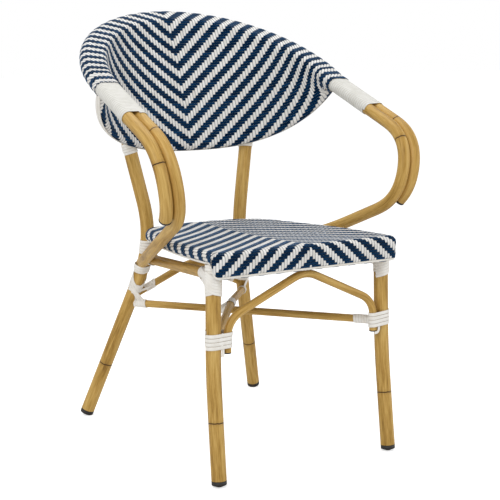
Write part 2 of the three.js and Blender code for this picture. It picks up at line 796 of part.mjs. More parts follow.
function sleeveOutline(radius, innerStart) {
  const outline = [];
  const reach = radius / Math.cos(RIGHT_ANGLE / SLEEVE_ARC_POINTS);
  const innerEnd = -3 * RIGHT_ANGLE + RIGHT_ANGLE / SLEEVE_ARC_POINTS;
  for (let i = 0; i < SLEEVE_ARC_POINTS; i += 1) {
    const angle = THREE.MathUtils.lerp(innerStart, innerEnd, i / (SLEEVE_ARC_POINTS - 1));
    outline.push([reach * Math.cos(angle), reach * Math.sin(angle)]);
  }
  for (let i = 0; i < SLEEVE_ARC_POINTS; i += 1) {
    const angle = RIGHT_ANGLE - ((i * 2 + 1) / SLEEVE_ARC_POINTS) * RIGHT_ANGLE;
    outline.push([ARM_TUBE_PITCH + reach * Math.cos(angle), reach * Math.sin(angle)]);
  }
  outline.push([ARM_TUBE_PITCH / 2, -radius]);
  return outline;
}

// The direction from the inner tube down the panel, seen in the sleeve's section
function panelAngle(place, outward, upward) {
  const angle = Math.atan2(place.x / HOOP_HALF_WIDTH, (place.y - HOOP_CENTRE_Y) / HOOP_DEPTH);
  const share = THREE.MathUtils.clamp(
    angle / (HOOP_TIP_ANGLE_SHARE * RIGHT_ANGLE), -PANEL_TIP_SHARE, PANEL_TIP_SHARE);
  const down = rimPoint(share).sub(panelTopPoint(share));
  return Math.atan2(down.dot(upward), down.dot(outward));
}

function sleeveSectionAt(share) {
  const inner = ARM_TUBE_RADIUS + SLEEVE_GAP;
  const outward = outwardAt(share);
  const along = innerPath.getTangentAt(share);
  const upward = along.clone().cross(outward);
  if (upward.z < 0) upward.negate();
  const origin = innerPath.getPointAt(share);
  const start = panelAngle(origin, outward, upward) - SLEEVE_SLOT_ANGLE;
  const outline = [
    ...sleeveOutline(inner + WEAVE_THICKNESS, start),
    ...sleeveOutline(inner, start).reverse(),
  ];
  return {
    flat: outline.map(([x, y]) => new THREE.Vector2(x, y)),
    solid: outline.map(([x, y]) => origin.clone().addScaledVector(outward, x)
      .addScaledVector(upward, y)),
  };
}

// The arm wraps run from their front end to the start of the sleeve
const armHalf = new PathPart(innerPath, 1 / 2, 1);
const wrapLength = ARM_WRAP_LOOPS * STRIP_PITCH;

function armWrapAxis() {
  const points = [];
  for (let i = 0; i <= ARM_POINTS * 4; i += 1) {
    const share = 1 / 2 + i / (ARM_POINTS * 8);
    points.push(innerPath.getPointAt(share).addScaledVector(outwardAt(share), ARM_TUBE_PITCH / 2));
  }
  const path = new THREE.CatmullRomCurve3(points, false, 'centripetal');
  path.arcLengthDivisions = 800;
  return path;
}

function shareAtY(path, y) {
  let low = 0;
  let high = 1 / 2;
  for (let i = 0; i < 40; i += 1) {
    const middle = (low + high) / 2;
    if (path.getPointAt(middle).y > y) low = middle;
    else high = middle;
  }
  return (low + high) / 2;
}

const pairAxis = armWrapAxis();
const wrapFrontLength = shareAtY(pairAxis, ARM_WRAP_FRONT_Y) * pairAxis.getLength();
const wrapRearLength = wrapFrontLength - wrapLength;
const sleeveEnd = 1 / 2 + (shareAtY(armHalf, pairAxis.getPointAt(
  (wrapRearLength - STRIP_WIDTH / 2 - JOINT_GAP * 2) / pairAxis.getLength()).y)) / 2;

const sleeveSections = [];
for (let i = 0; i <= SLEEVE_STATIONS; i += 1) {
  sleeveSections.push(sleeveSectionAt(
    THREE.MathUtils.lerp(1 - sleeveEnd, sleeveEnd, i / SLEEVE_STATIONS)));
}
const sleeve = loft(
  sleeveSections.map(({ solid }) => solid),
  sleeveSections[0].flat,
  sleeveSections[SLEEVE_STATIONS].flat,
);
const rimCutter = rimBody(RIM_TUBE_RADIUS + JOINT_GAP);
addPiece('hoop_weave', cutAway(sleeve, [...rearLegCutters, rimCutter]), WOVEN_STRAND);

forBothSides((sideName, side) => {
  const mirroredPoints = pairAxis.points.map((p) => point(side * p.x, p.y, p.z));
  const axis = new THREE.CatmullRomCurve3(mirroredPoints, false, 'centripetal');
  axis.arcLengthDivisions = 800;
  const half = ARM_TUBE_PITCH / 2;
  const pair = () => [
    { x: -half, y: 0, radius: ARM_TUBE_RADIUS },
    { x: half, y: 0, radius: ARM_TUBE_RADIUS },
  ];
  woundStrip(`arm_wrap_${sideName}`, axis, point(side, 0, 0), wrapRearLength,
    ARM_WRAP_LOOPS, WRAP_SIDES, pair);
});

// Woven panel of the back: round the lower rim, then straight up to the inner tube.
// Its section is drawn flat too, with x to the rear and y upwards, to close its ends.

const RIM_ARC_POINTS = 7;
const PANEL_POINTS = 3;

function panelSectionAt(share) {
  const { place, ruling, up, rearward } = rimFrame(share);
  const outerRadius = RIM_TUBE_RADIUS + SLEEVE_GAP + WEAVE_THICKNESS;
  const innerRadius = RIM_TUBE_RADIUS + SLEEVE_GAP;
  const panelShare = 1 - (ARM_TUBE_RADIUS + JOINT_GAP * 2) / ruling.length();
  const halfThickness = WEAVE_THICKNESS / 2;
  const outside = [];
  const inside = [];
  const addPoint = (list, x, y, rise) => list.push({
    flat: new THREE.Vector2(x, y + rise * ruling.length()),
    solid: place.clone().addScaledVector(rearward, x).addScaledVector(up, y)
      .addScaledVector(ruling, rise),
  });
  const arcStart = RIGHT_ANGLE / 2;
  for (let i = 0; i <= RIM_ARC_POINTS; i += 1) {
    const angle = THREE.MathUtils.lerp(arcStart, -Math.PI, i / RIM_ARC_POINTS);
    addPoint(outside, outerRadius * Math.cos(angle), outerRadius * Math.sin(angle), 0);
    addPoint(inside, innerRadius * Math.cos(angle), innerRadius * Math.sin(angle), 0);
  }
  for (let i = 1; i <= PANEL_POINTS; i += 1) {
    const rise = (panelShare * i) / PANEL_POINTS;
    const settle = Math.min(1, (i * 2) / (PANEL_POINTS + 1));
    addPoint(outside, THREE.MathUtils.lerp(-outerRadius, -halfThickness, settle), 0, rise);
    addPoint(inside, THREE.MathUtils.lerp(-innerRadius, halfThickness, settle), 0, rise);
  }
  return [...outside, ...inside.reverse()];
}

const panelSections = [];
for (let i = PANEL_TIP_STATIONS; i <= RIM_STATIONS - PANEL_TIP_STATIONS; i += 1) {
  panelSections.push(panelSectionAt(THREE.MathUtils.lerp(-1, 1, i / RIM_STATIONS)));
}
const flatSection = (section) => section.map(({ flat }) => flat);
const panel = loft(
  panelSections.map((section) => section.map(({ solid }) => solid)),
  flatSection(panelSections[0]),
  flatSection(panelSections[panelSections.length - 1]),
);
addPiece('back_weave', cutAway(panel, [innerTubeCutter(), ...rearLegCutters]), WOVEN_STRAND);

// Seat: the bent tube of its outline, the apron rail, and the woven seat round them

addPiece('seat_tube', seatTubeBody(), BAMBOO);

const apronRailY = SEAT_FRONT_Y + SLEEVE_OUTER_RADIUS;
const apronRailZ = SEAT_FRONT_Z - APRON_HEIGHT + SLEEVE_OUTER_RADIUS;
const apronRailEnd = FRONT_TOP_X;
const apronRail = new THREE.LineCurve3(
  point(-apronRailEnd, apronRailY, apronRailZ), point(apronRailEnd, apronRailY, apronRailZ));
addPiece('apron_rail', cutAway(
  roundBar(apronRail, APRON_RAIL_RADIUS, LEG_SIDES, 1), frontLegCutters), BAMBOO);

// A seat section runs from the middle of the top, over the edge, down the side and a
// little way back underneath, at one place of the outline
const EDGE_ARC_POINTS = 3;
const TOP_RING_SHARES = [0.34, 0.7];

// The apron is deepest along the front and runs out round the front corners
function bandHeight(y) {
  const sideHeight = SLEEVE_OUTER_RADIUS * 2;
  const share = THREE.MathUtils.clamp((y - SEAT_FRONT_Y) / APRON_RETURN, 0, 1);
  return THREE.MathUtils.lerp(APRON_HEIGHT, sideHeight, share ** 2);
}

function seatRow(inset, drop, topShare) {
  const outline = seatOutline(inset);
  const edge = seatOutline(0);
  const centreY = (SEAT_FRONT_Y + SEAT_REAR_Y) / 2;
  return outline.map(([x, y], i) => {
    const shareX = x * topShare;
    const shareY = centreY + (y - centreY) * topShare;
    const sag = SEAT_SAG * (1 - topShare ** 2);
    return point(shareX, shareY, seatTopHeight(shareY) - sag - drop(edge[i][1]));
  });
}

function seatRows(skin) {
  const radius = SLEEVE_OUTER_RADIUS;
  const rows = [];
  for (const share of TOP_RING_SHARES) rows.push(seatRow(radius, () => skin, share));
  for (let i = 0; i <= EDGE_ARC_POINTS; i += 1) {
    const angle = (i / EDGE_ARC_POINTS) * RIGHT_ANGLE;
    const inset = radius - (radius - skin) * Math.sin(angle);
    const drop = radius - (radius - skin) * Math.cos(angle);
    rows.push(seatRow(inset, () => drop, 1));
  }
  for (let i = 0; i <= EDGE_ARC_POINTS; i += 1) {
    const angle = (i / EDGE_ARC_POINTS) * RIGHT_ANGLE;
    const inset = radius - (radius - skin) * Math.cos(angle);
    const up = radius - (radius - skin) * Math.sin(angle);
    rows.push(seatRow(inset, (y) => bandHeight(y) - up, 1));
  }
  return rows;
}

function wovenSeat() {
  const outerRows = seatRows(0);
  const innerRows = seatRows(WEAVE_THICKNESS).reverse();
  const rows = [...outerRows, ...innerRows];
  const count = rows[0].length;
  const centreY = (SEAT_FRONT_Y + SEAT_REAR_Y) / 2;
  const centreZ = seatTopHeight(centreY) - SEAT_SAG;
  const vertices = rows.flat();
  const topCentre = vertices.push(point(0, centreY, centreZ)) - 1;
  const undersideCentre = vertices.push(point(0, centreY, centreZ - WEAVE_THICKNESS)) - 1;
  const triangles = [];
  const lastStart = (rows.length - 1) * count;
  for (let j = 0; j < count; j += 1) {
    const next = (j + 1) % count;
    triangles.push([topCentre, j, next]);
    triangles.push([undersideCentre, lastStart + next, lastStart + j]);
    for (let i = 0; i < rows.length - 1; i += 1) {
      const a = i * count + j;
      const b = i * count + next;
      triangles.push([a, a + count, b + count], [a, b + count, b]);
    }
  }
  return closedBody(vertices, triangles);
}

addPiece('seat_weave', wovenSeat(), WOVEN_STRAND);

// Side rails from the front legs to the rear legs, and the rear rail under the seat

function sideRailPath(side) {
  const rearY = rearLegPath(side).getPointAt(placeAtHeight(rearLegPath(side), SIDE_RAIL_REAR_Z)).y;
  return new THREE.LineCurve3(
    point(side * FRONT_TOP_X, FRONT_TOP_Y, SIDE_RAIL_FRONT_Z),
    point(side * SIDE_RAIL_REAR_X, rearY, SIDE_RAIL_REAR_Z),
  );
}

forBothSides((sideName, side) => {
  const rail = roundBar(sideRailPath(side), SIDE_RAIL_RADIUS, LEG_SIDES, 1);
  addPiece(`side_rail_${sideName}`,
    cutAway(rail, [...frontLegCutters, ...rearLegCutters, innerTubeCutter()]), BAMBOO);
});

const rearRailY = SEAT_REAR_Y - SLEEVE_OUTER_RADIUS;
const rearRailZ = seatTopHeight(SEAT_REAR_Y) - SLEEVE_OUTER_RADIUS * 2 - SEAT_TUBE_RADIUS - JOINT_GAP;
const rearRailReach = rearLegPath(1).getPointAt(placeAtHeight(rearLegPath(1), rearRailZ)).x;
const rearRail = new THREE.LineCurve3(
  point(-rearRailReach, rearRailY, rearRailZ), point(rearRailReach, rearRailY, rearRailZ));
addPiece('rear_rail', cutAway(
  roundBar(rearRail, SEAT_TUBE_RADIUS, LEG_SIDES, 1), rearLegCutters), BAMBOO);

// Front brace: one tube bent to a low gable, its ends plugged and standing by the legs

const frontBracePath = bentPath([
  point(-FRONT_BRACE_X, FRONT_BRACE_Y, FRONT_BRACE_END_Z),
  point(-FRONT_BRACE_X, FRONT_BRACE_Y, FRONT_BRACE_SHOULDER_Z),
  point(0, FRONT_BRACE_APEX_Y, FRONT_BRACE_APEX_Z),
  point(FRONT_BRACE_X, FRONT_BRACE_Y, FRONT_BRACE_SHOULDER_Z),
  point(FRONT_BRACE_X, FRONT_BRACE_Y, FRONT_BRACE_END_Z),
], [FRONT_BRACE_SHOULDER_REACH, BRACE_APEX_REACH, FRONT_BRACE_SHOULDER_REACH]);
const braceEnds = [
  { sideName: 'left', end: frontBracePath.getPointAt(0) },
  { sideName: 'right', end: frontBracePath.getPointAt(1) },
];
const downwards = UP.clone().negate();
const frontBrace = roundBar(frontBracePath, BRACE_RADIUS, SMALL_TUBE_SIDES, FRONT_BRACE_STEPS);
addPiece('front_brace', cutAway(frontBrace, braceEnds.map(
  ({ end }) => boreCutter(end, downwards, BRACE_BORE_RADIUS))), BAMBOO);
for (const { sideName, end } of braceEnds) {
  plug(`brace_cap_${sideName}`, end, downwards, BRACE_RADIUS, BRACE_BORE_RADIUS);
}

// Rear brace: the same gable between the rear legs, its ends fitted to them

function rearLegPoint(side, height) {
  const path = rearLegPath(side);
  return path.getPointAt(placeAtHeight(path, height));
}

const rearBracePath = bentPath([
  rearLegPoint(-1, REAR_BRACE_END_Z),
  point(0, REAR_BRACE_APEX_Y, REAR_BRACE_APEX_Z),
  rearLegPoint(1, REAR_BRACE_END_Z),
], [BRACE_APEX_REACH]);
addPiece('rear_brace', cutAway(
  roundBar(rearBracePath, BRACE_RADIUS, SMALL_TUBE_SIDES, REAR_BRACE_STEPS), rearLegCutters), BAMBOO);

// Leg and brace lashed together: the leg and the brace end stand side by side

function frontLegPoint(side, height) {
  const path = frontLegPath(side);
  return path.getPointAt(placeAtHeight(path, height));
}

const leftHalfBrace = new PathPart(frontBracePath, 0, 1 / 2);

function bracePoint(side, height) {
  const place = leftHalfBrace.getPointAt(placeAtHeight(leftHalfBrace, height));
  return point(-side * place.x, place.y, place.z);
}

function lashingBars(side) {
  const path = frontLegPath(side);
  return (share) => {
    const frame = axisFrame(path, point(side, 0, 0), share);
    const bars = [{ x: 0, y: 0, radius: LEG_RADIUS }];
    for (const half of [-1, 1]) {
      const height = frame.origin.z + (half * STRIP_WIDTH) / 2;
      const brace = bracePoint(side, height).sub(frame.origin);
      bars.push({
        x: brace.dot(frame.first), y: brace.dot(frame.second), radius: BRACE_RADIUS + JOINT_GAP,
      });
    }
    return bars;
  };
}

// The space that a lashing takes, as a body to cut the stretchers with
function lashingCutter(side) {
  const path = frontLegPath(side);
  const barsAt = lashingBars(side);
  const standOff = JOINT_GAP * 3 + STRIP_THICKNESS;
  const outline = (height) => {
    const share = placeAtHeight(path, height);
    const frame = axisFrame(path, point(side, 0, 0), share);
    return wrapOutline(barsAt(share), standOff, WRAP_SIDES).map(
      (flat) => frame.origin.clone().addScaledVector(frame.first, flat.x)
        .addScaledVector(frame.second, flat.y));
  };
  const bottom = outline(LASHING_BOTTOM_Z - STRIP_WIDTH);
  const top = outline(LASHING_BOTTOM_Z + LASHING_LOOPS * STRIP_PITCH + STRIP_WIDTH);
  const flatOf = (ring) => ring.map((p) => new THREE.Vector2(p.x, p.y));
  return loft([bottom, top], flatOf(bottom), flatOf(top));
}

forBothSides((sideName, side) => {
  const path = frontLegPath(side);
  const startAt = (height) => placeAtHeight(path, height) * path.getLength();
  woundStrip(`brace_lashing_${sideName}`, path, point(side, 0, 0), startAt(LASHING_BOTTOM_Z),
    LASHING_LOOPS, WRAP_SIDES, lashingBars(side));
  woundStrip(`front_leg_wrap_${sideName}`, path, point(side, 0, 0), startAt(LEG_WRAP_BOTTOM_Z),
    LEG_WRAP_LOOPS, WRAP_SIDES, singleBar(LEG_RADIUS));
});

forBothSides((sideName, side) => {
  const path = rearLegPath(side);
  const startAt = (height) => placeAtHeight(path, height) * path.getLength();
  woundStrip(`rear_joint_wrap_${sideName}`, path, point(side, 0, 0), startAt(JOINT_WRAP_BOTTOM_Z),
    JOINT_WRAP_LOOPS, WRAP_SIDES, singleBar(LEG_RADIUS + JOINT_GAP));
  woundStrip(`post_wrap_${sideName}`, path, point(side, 0, 0), startAt(POST_WRAP_BOTTOM_Z),
    POST_WRAP_LOOPS, WRAP_SIDES, singleBar(LEG_RADIUS));
});

// Crossed stretchers from each rear leg to the opposite front leg. One is straight; the
// other is bent up where they cross, so that it lies on top of the first.

function stretcherEnds(rearSide) {
  return [rearLegPoint(rearSide, STRETCHER_REAR_Z), frontLegPoint(-rearSide, STRETCHER_FRONT_Z)];
}

const straightStretcher = new THREE.LineCurve3(...stretcherEnds(-1));
const crossingShare = straightStretcher.v1.x / (straightStretcher.v1.x - straightStretcher.v2.x);
const crossingPlace = straightStretcher.getPoint(crossingShare);
const archedEnds = stretcherEnds(1);
const archRise = BRACE_RADIUS * 2 + JOINT_GAP;
const archLift = 1 + STRETCHER_ARCH_REACH / straightStretcher.getLength() * 2;
const archedStretcher = bentPath([
  archedEnds[0],
  crossingPlace.clone().addScaledVector(UP, archRise * archLift),
  archedEnds[1],
], [STRETCHER_ARCH_REACH]);

const stretchers = [
  { name: 'stretcher_straight', rearSide: -1, path: straightStretcher, steps: 1 },
  { name: 'stretcher_arched', rearSide: 1, path: archedStretcher, steps: REAR_BRACE_STEPS },
];
for (const { name, rearSide, path, steps } of stretchers) {
  const bar = roundBar(path, BRACE_RADIUS, SMALL_TUBE_SIDES, steps);
  addPiece(name, cutAway(bar, [...rearLegCutters, lashingCutter(-rearSide)]), BAMBOO);
  const length = path.getLength();
  const wrapRun = END_WRAP_LOOPS * STRIP_PITCH;
  const frontStart = length - LEG_RADIUS - END_WRAP_INSET - wrapRun;
  woundStrip(`${name}_front_wrap`, path, UP, frontStart,
    END_WRAP_LOOPS, WRAP_SIDES, singleBar(BRACE_RADIUS));
  woundStrip(`${name}_rear_wrap`, path, UP, LEG_RADIUS + END_WRAP_INSET,
    END_WRAP_LOOPS, WRAP_SIDES, singleBar(BRACE_RADIUS));
}

// Lashing where the stretchers cross: its axis runs from rear to front between them

const crossDirection = straightStretcher.getTangentAt(0);
const crossAxisDirection = point(0, crossDirection.y, crossDirection.z).normalize();
const crossRun = CROSS_LASHING_LOOPS * STRIP_PITCH;
const crossMiddle = crossingPlace.clone().addScaledVector(UP, archRise / 2);
const crossAxis = new THREE.LineCurve3(
  crossMiddle.clone().addScaledVector(crossAxisDirection, -crossRun),
  crossMiddle.clone().addScaledVector(crossAxisDirection, crossRun));
const spread = Math.abs(crossDirection.x / crossDirection.y);
const slant = Math.hypot(1, spread);

function crossingBars(share) {
  const fromCrossing = (share - 1 / 2) * crossRun * 2;
  const aside = (Math.abs(fromCrossing) + STRIP_WIDTH / 2) * spread;
  const bars = [];
  for (const rise of [archRise / 2, -archRise / 2]) {
    for (const side of [-1, 1]) {
      bars.push({ x: rise, y: side * aside, radius: BRACE_RADIUS * slant });
    }
  }
  return bars;
}

woundStrip('cross_lashing', crossAxis, UP, crossRun / 2, CROSS_LASHING_LOOPS, WRAP_SIDES,
  crossingBars);

// The origin is on the floor, under the middle of the chair
const extent = new THREE.Box3().setFromObject(chair);
chair.position.y = -(extent.min.y + extent.max.y) / 2;

export default chair;
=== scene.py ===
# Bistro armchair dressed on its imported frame: bent tubes painted like bamboo, black plugs,
# a seat and a back of two-colour strands woven round the tubes, and strip-wound joints.

import math
import bpy
import numpy as np
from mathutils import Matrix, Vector


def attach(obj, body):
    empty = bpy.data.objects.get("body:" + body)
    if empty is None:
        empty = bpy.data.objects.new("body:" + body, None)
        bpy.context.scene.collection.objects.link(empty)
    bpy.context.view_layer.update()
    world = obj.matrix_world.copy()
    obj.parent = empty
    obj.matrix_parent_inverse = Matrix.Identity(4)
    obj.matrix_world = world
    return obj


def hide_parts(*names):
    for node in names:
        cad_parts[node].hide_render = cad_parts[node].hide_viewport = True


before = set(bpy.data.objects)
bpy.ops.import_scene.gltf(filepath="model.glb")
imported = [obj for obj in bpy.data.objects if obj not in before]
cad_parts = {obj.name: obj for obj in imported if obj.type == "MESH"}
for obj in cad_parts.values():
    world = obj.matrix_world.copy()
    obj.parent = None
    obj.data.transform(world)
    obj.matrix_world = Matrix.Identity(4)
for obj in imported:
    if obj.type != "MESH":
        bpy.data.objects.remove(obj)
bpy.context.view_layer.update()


# Legs
# Four legs of 30 mm aluminium tube, each bent once on a tube bender and painted to look
# like bamboo cane, with a thin dark node ring a hand's breadth above the floor.

SIDES = (("left", -1), ("right", 1))
SHIFT_TO_FRAME_Y = -54.19
LEG_RADIUS = 15
FRONT_LEG = [(206.3, -232.2, 0), (203.5, -205.8, 225), (200.3, -202.5, 430)]
REAR_LEG = [(229, 337, 0), (109.6, 217.9, 412), (200, 282, 868)]
FRONT_PLUG_END = 12.9
REAR_PLUG_END = 15.1
REAR_LEG_TOP = 852
RING_WAVER = 0.0026


def metres(points):
    return (np.atleast_2d(np.array(points, float)) + [0, SHIFT_TO_FRAME_Y, 0]) / 1000


def mirrored(points, side=-1):
    return np.array(points, float) * [side, 1, 1]


def unit(vectors):
    vectors = np.asarray(vectors, float)
    length = np.linalg.norm(vectors, axis=-1, keepdims=True)
    return vectors / np.where(length < 1e-9, 1, length)


def bent_line(corners, reaches, bend_points=12):
    corners = [np.array(corner, float) for corner in corners]
    points = [corners[0]]
    for before, corner, after, reach in zip(corners, corners[1:], corners[2:], reaches):
        back = unit(before - corner) * reach
        on = unit(after - corner) * reach
        points += [corner + back * (1 - s) ** 2 + on * s ** 2
                   for s in np.linspace(0, 1, bend_points)]
    return np.array([*points, corners[-1]])


def lengths_along(points):
    steps = np.linalg.norm(np.diff(points, axis=0), axis=1)
    return np.concatenate([[0], np.cumsum(steps)])


def between(wanted, known, values):
    return np.stack([np.interp(wanted, known, column) for column in values.T], axis=-1)


def place_on(points, lengths):
    return between(lengths, lengths_along(points), points)


def evenly(points, spacing, start=0.0, end=None):
    end = lengths_along(points)[-1] if end is None else end
    count = max(2, int(round((end - start) / spacing)) + 1)
    return place_on(points, np.linspace(start, end, count))


def length_at_height(points, height):
    order = np.argsort(points[:, 2])
    return float(np.interp(height, points[order, 2], lengths_along(points)[order]))


def wire(node, inputs):
    for key, value in inputs.items():
        if isinstance(value, bpy.types.NodeSocket):
            node.id_data.links.new(value, node.inputs[key])
        else:
            node.inputs[key].default_value = value


def add_node(tree, kind, inputs=None, **settings):
    made = tree.nodes.new(kind)
    for name, value in settings.items():
        setattr(made, name, value)
    wire(made, inputs or {})
    return made


def add(tree, kind, inputs=None, **settings):
    return add_node(tree, kind, inputs, **settings).outputs[0]


def reckon(tree, operation, *values):
    return add(tree, "ShaderNodeMath", dict(enumerate(values)), operation=operation)


def times(tree, *values):
    return reckon(tree, "MULTIPLY", *values)


def graded(tree, value, slope, start):
    return reckon(tree, "MULTIPLY_ADD", value, slope, start)


def reckon_vector(tree, operation, *values, **named_values):
    inputs = {**dict(enumerate(values)), **named_values}
    return add(tree, "ShaderNodeVectorMath", inputs, operation=operation)


def combine(tree, *values):
    return add(tree, "ShaderNodeCombineXYZ", dict(enumerate(values)))


def separate(tree, vector):
    return add_node(tree, "ShaderNodeSeparateXYZ", {0: vector}).outputs


def named(tree, name, kind="FLOAT_VECTOR"):
    return add(tree, "GeometryNodeInputNamedAttribute", {"Name": name}, data_type=kind)


def store(tree, geometry, name, value, kind="FLOAT_VECTOR"):
    return add(tree, "GeometryNodeStoreNamedAttribute", {
        "Geometry": geometry, "Name": name, "Value": value}, data_type=kind, domain="POINT")


def start_group(kind, name, inputs, outputs):
    group = bpy.data.node_groups.new(name, kind + "NodeTree")
    for in_out, sockets in (("INPUT", inputs), ("OUTPUT", outputs)):
        for label, socket in sockets.items():
            group.interface.new_socket(label, in_out=in_out, socket_type="NodeSocket" + socket)
    return group, group.nodes.new("NodeGroupInput").outputs


def start_tree(name, inputs):
    geometry = {"Geometry": "Geometry"}
    return start_group("Geometry", name, {**geometry, **inputs}, geometry)


def end_tree(tree, geometry, material):
    whole = add(tree, "GeometryNodeRealizeInstances", {0: geometry})
    dressed = add(tree, "GeometryNodeSetMaterial", {"Geometry": whole, "Material": material})
    add_node(tree, "NodeGroupOutput", {0: dressed})
    return tree


def circle(tree, sides, radius):
    return add(tree, "GeometryNodeCurvePrimitiveCircle", {"Resolution": sides, "Radius": radius})


def swept(tree, line_mesh, sides, radius):
    kept = add_node(tree, "GeometryNodeCaptureAttribute", {0: circle(tree, sides, radius)})
    kept.capture_items.new("VECTOR", "Round")
    position = add(tree, "GeometryNodeInputPosition")
    wire(kept, {1: reckon_vector(tree, "NORMALIZE", position)})
    skin = add(tree, "GeometryNodeCurveToMesh", {
        "Curve": add(tree, "GeometryNodeMeshToCurve", {0: line_mesh}),
        "Profile Curve": kept.outputs[0], "Fill Caps": True})
    return skin, separate(tree, kept.outputs[1])


def mesh_of(name, vertices, faces=(), edges=(), **attributes):
    mesh = bpy.data.meshes.new(name)
    mesh.from_pydata([tuple(v) for v in vertices], list(edges), [tuple(f) for f in faces])
    for label, values in attributes.items():
        values = np.asarray(values, np.float32)
        kind, field = ("FLOAT", "value") if values.ndim == 1 else ("FLOAT_VECTOR", "vector")
        layer = mesh.attributes.new(label, kind, "POINT")
        layer.data.foreach_set(field, values.ravel())
    return mesh


def put_in_scene(name, data):
    made = bpy.data.objects.new(name, data)
    bpy.context.scene.collection.objects.link(made)
    return made


def grown(name, mesh, tree, settings):
    piece = put_in_scene(name, mesh)
    growth = piece.modifiers.new("growth", "NODES")
    growth.node_group = tree
    sockets = {item.name: item.identifier for item in tree.interface.items_tree
               if item.in_out == "INPUT"}
    for label, value in settings.items():
        growth[sockets[label]] = value
    bpy.context.view_layer.update()
    graph = bpy.context.evaluated_depsgraph_get()
    finished = bpy.data.meshes.new_from_object(piece.evaluated_get(graph))
    piece.modifiers.remove(growth)
    piece.data = finished
    finished.name = name
    return piece


def settle(piece, slot, *nodes, crease=42):
    piece.data.shade_smooth()
    piece.data.set_sharp_from_angle(angle=math.radians(crease))
    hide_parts(*nodes)
    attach(piece, "root")


def bent_tube_tree():
    tree, ask = start_tree("bent tube", {"Radius": "Float", "Sides": "Int", "Paint": "Material"})
    skin, around = swept(tree, ask["Geometry"], ask["Sides"], ask["Radius"])
    marks = combine(tree, around[0], around[1], named(tree, "along", "FLOAT"))
    return end_tree(tree, store(tree, skin, "tube", marks), ask["Paint"])


BENT_TUBE = bent_tube_tree()


def tube(name, points, radius, paint, node, sides=32):
    points = metres(points)
    edges = [(i, i + 1) for i in range(len(points) - 1)]
    mesh = mesh_of(name, points, edges=edges, along=lengths_along(points))
    piece = grown(name, mesh, BENT_TUBE, {
        "Radius": radius / 1000, "Sides": sides, "Paint": paint})
    settle(piece, "tube_paint", node)


def shade(hex_colour):
    parts = [int(hex_colour[i:i + 2], 16) / 255 for i in (0, 2, 4)]
    linear = [p / 12.92 if p <= 0.04045 else ((p + 0.055) / 1.055) ** 2.4 for p in parts]
    return (*linear, 1.0)


def noise(tree, vector, scale, detail, roughness=0.5):
    return add(tree, "ShaderNodeTexNoise", {
        "Vector": vector, "Scale": scale, "Detail": detail, "Roughness": roughness})


def remapped(tree, value, low, high, at_low, at_high):
    return add(tree, "ShaderNodeMapRange", {
        "Value": value, "From Min": low, "From Max": high, "To Min": at_low, "To Max": at_high})


def colour_steps(tree, factor, places, colours):
    ramp = add_node(tree, "ShaderNodeValToRGB", {0: factor})
    stops = ramp.color_ramp.elements
    while len(stops) < len(places):
        stops.new(0.5)
    for stop, place, colour in zip(stops, places, colours):
        stop.position = place
        stop.color = shade(colour)
    return ramp.outputs[0]


def tinted(tree, colour, share, tint):
    return add_node(tree, "ShaderNodeMix", {0: share, 6: colour, 7: shade(tint)},
                    data_type="RGBA").outputs[2]


def cane_grain_group():
    tree, ask = start_group("Shader", "cane grain", {"Place": "Vector", "Run": "Float"},
                            {"Colour": "Color", "Roughness": "Float", "Height": "Float"})
    x, y, z = separate(tree, ask["Place"])
    stretched = combine(tree, x, y, times(tree, z, ask["Run"]))
    fine = noise(tree, stretched, 5.5, 5.0, 0.62)
    broad = noise(tree, stretched, 1.3, 2.0)
    mixed = graded(tree, broad, 0.55, times(tree, fine, 0.45))
    colour = colour_steps(tree, mixed, (0.31, 0.42, 0.52, 0.68),
                          ("82602c", "b08942", "c59e55", "dbb86e"))
    specks = reckon(tree, "GREATER_THAN", noise(tree, stretched, 19.0, 3.0), 0.70)
    colour = tinted(tree, colour, times(tree, specks, 0.35), "7c5524")
    rough = graded(tree, fine, 0.18, 0.36)
    add_node(tree, "NodeGroupOutput", {"Colour": colour, "Roughness": rough, "Height": fine})
    return tree


CANE_GRAIN = cane_grain_group()


def start_material(name):
    material = bpy.data.materials.new(name)
    material.use_nodes = True
    tree = material.node_tree
    return material, tree, tree.nodes["Principled BSDF"]


def read_attribute(tree, name):
    return add_node(tree, "ShaderNodeAttribute", attribute_name=name).outputs["Vector"]


def dress(tree, skin, colour, roughness, height, strength, depth):
    relief = add(tree, "ShaderNodeBump", {
        "Strength": strength, "Distance": depth, "Height": height})
    wire(skin, {"Base Color": colour, "Roughness": roughness, "Normal": relief})


def bamboo_paint(name, rings=(), place=None, run=6.0):
    material, tree, skin = start_material(name)
    spot = place(tree) if place else read_attribute(tree, "tube")
    grain = add_node(tree, "ShaderNodeGroup", {"Place": spot, "Run": run},
                     node_tree=CANE_GRAIN).outputs
    colour = grain["Colour"]
    height = times(tree, grain["Height"], 0.15)
    if rings:
        along = graded(tree, noise(tree, spot, 1.6, 1.0), RING_WAVER,
                       separate(tree, spot)[2])
    for ring in rings:
        away = reckon(tree, "ABSOLUTE", reckon(tree, "SUBTRACT", along, ring + RING_WAVER / 2))
        line = remapped(tree, away, 0.0008, 0.0014, 1.0, 0.0)
        halo = remapped(tree, away, 0.0006, 0.0070, 0.30, 0.0)
        colour = tinted(tree, colour, halo, "8a6029")
        colour = tinted(tree, colour, times(tree, line, 0.95), "2c190a")
        height = reckon(tree, "SUBTRACT", height, line)
    dress(tree, skin, colour, grain["Roughness"], height, 0.35, 0.0006)
    wire(skin, {"Specular IOR Level": 0.22, "Coat Weight": 0.04, "Coat Roughness": 0.25})
    return material


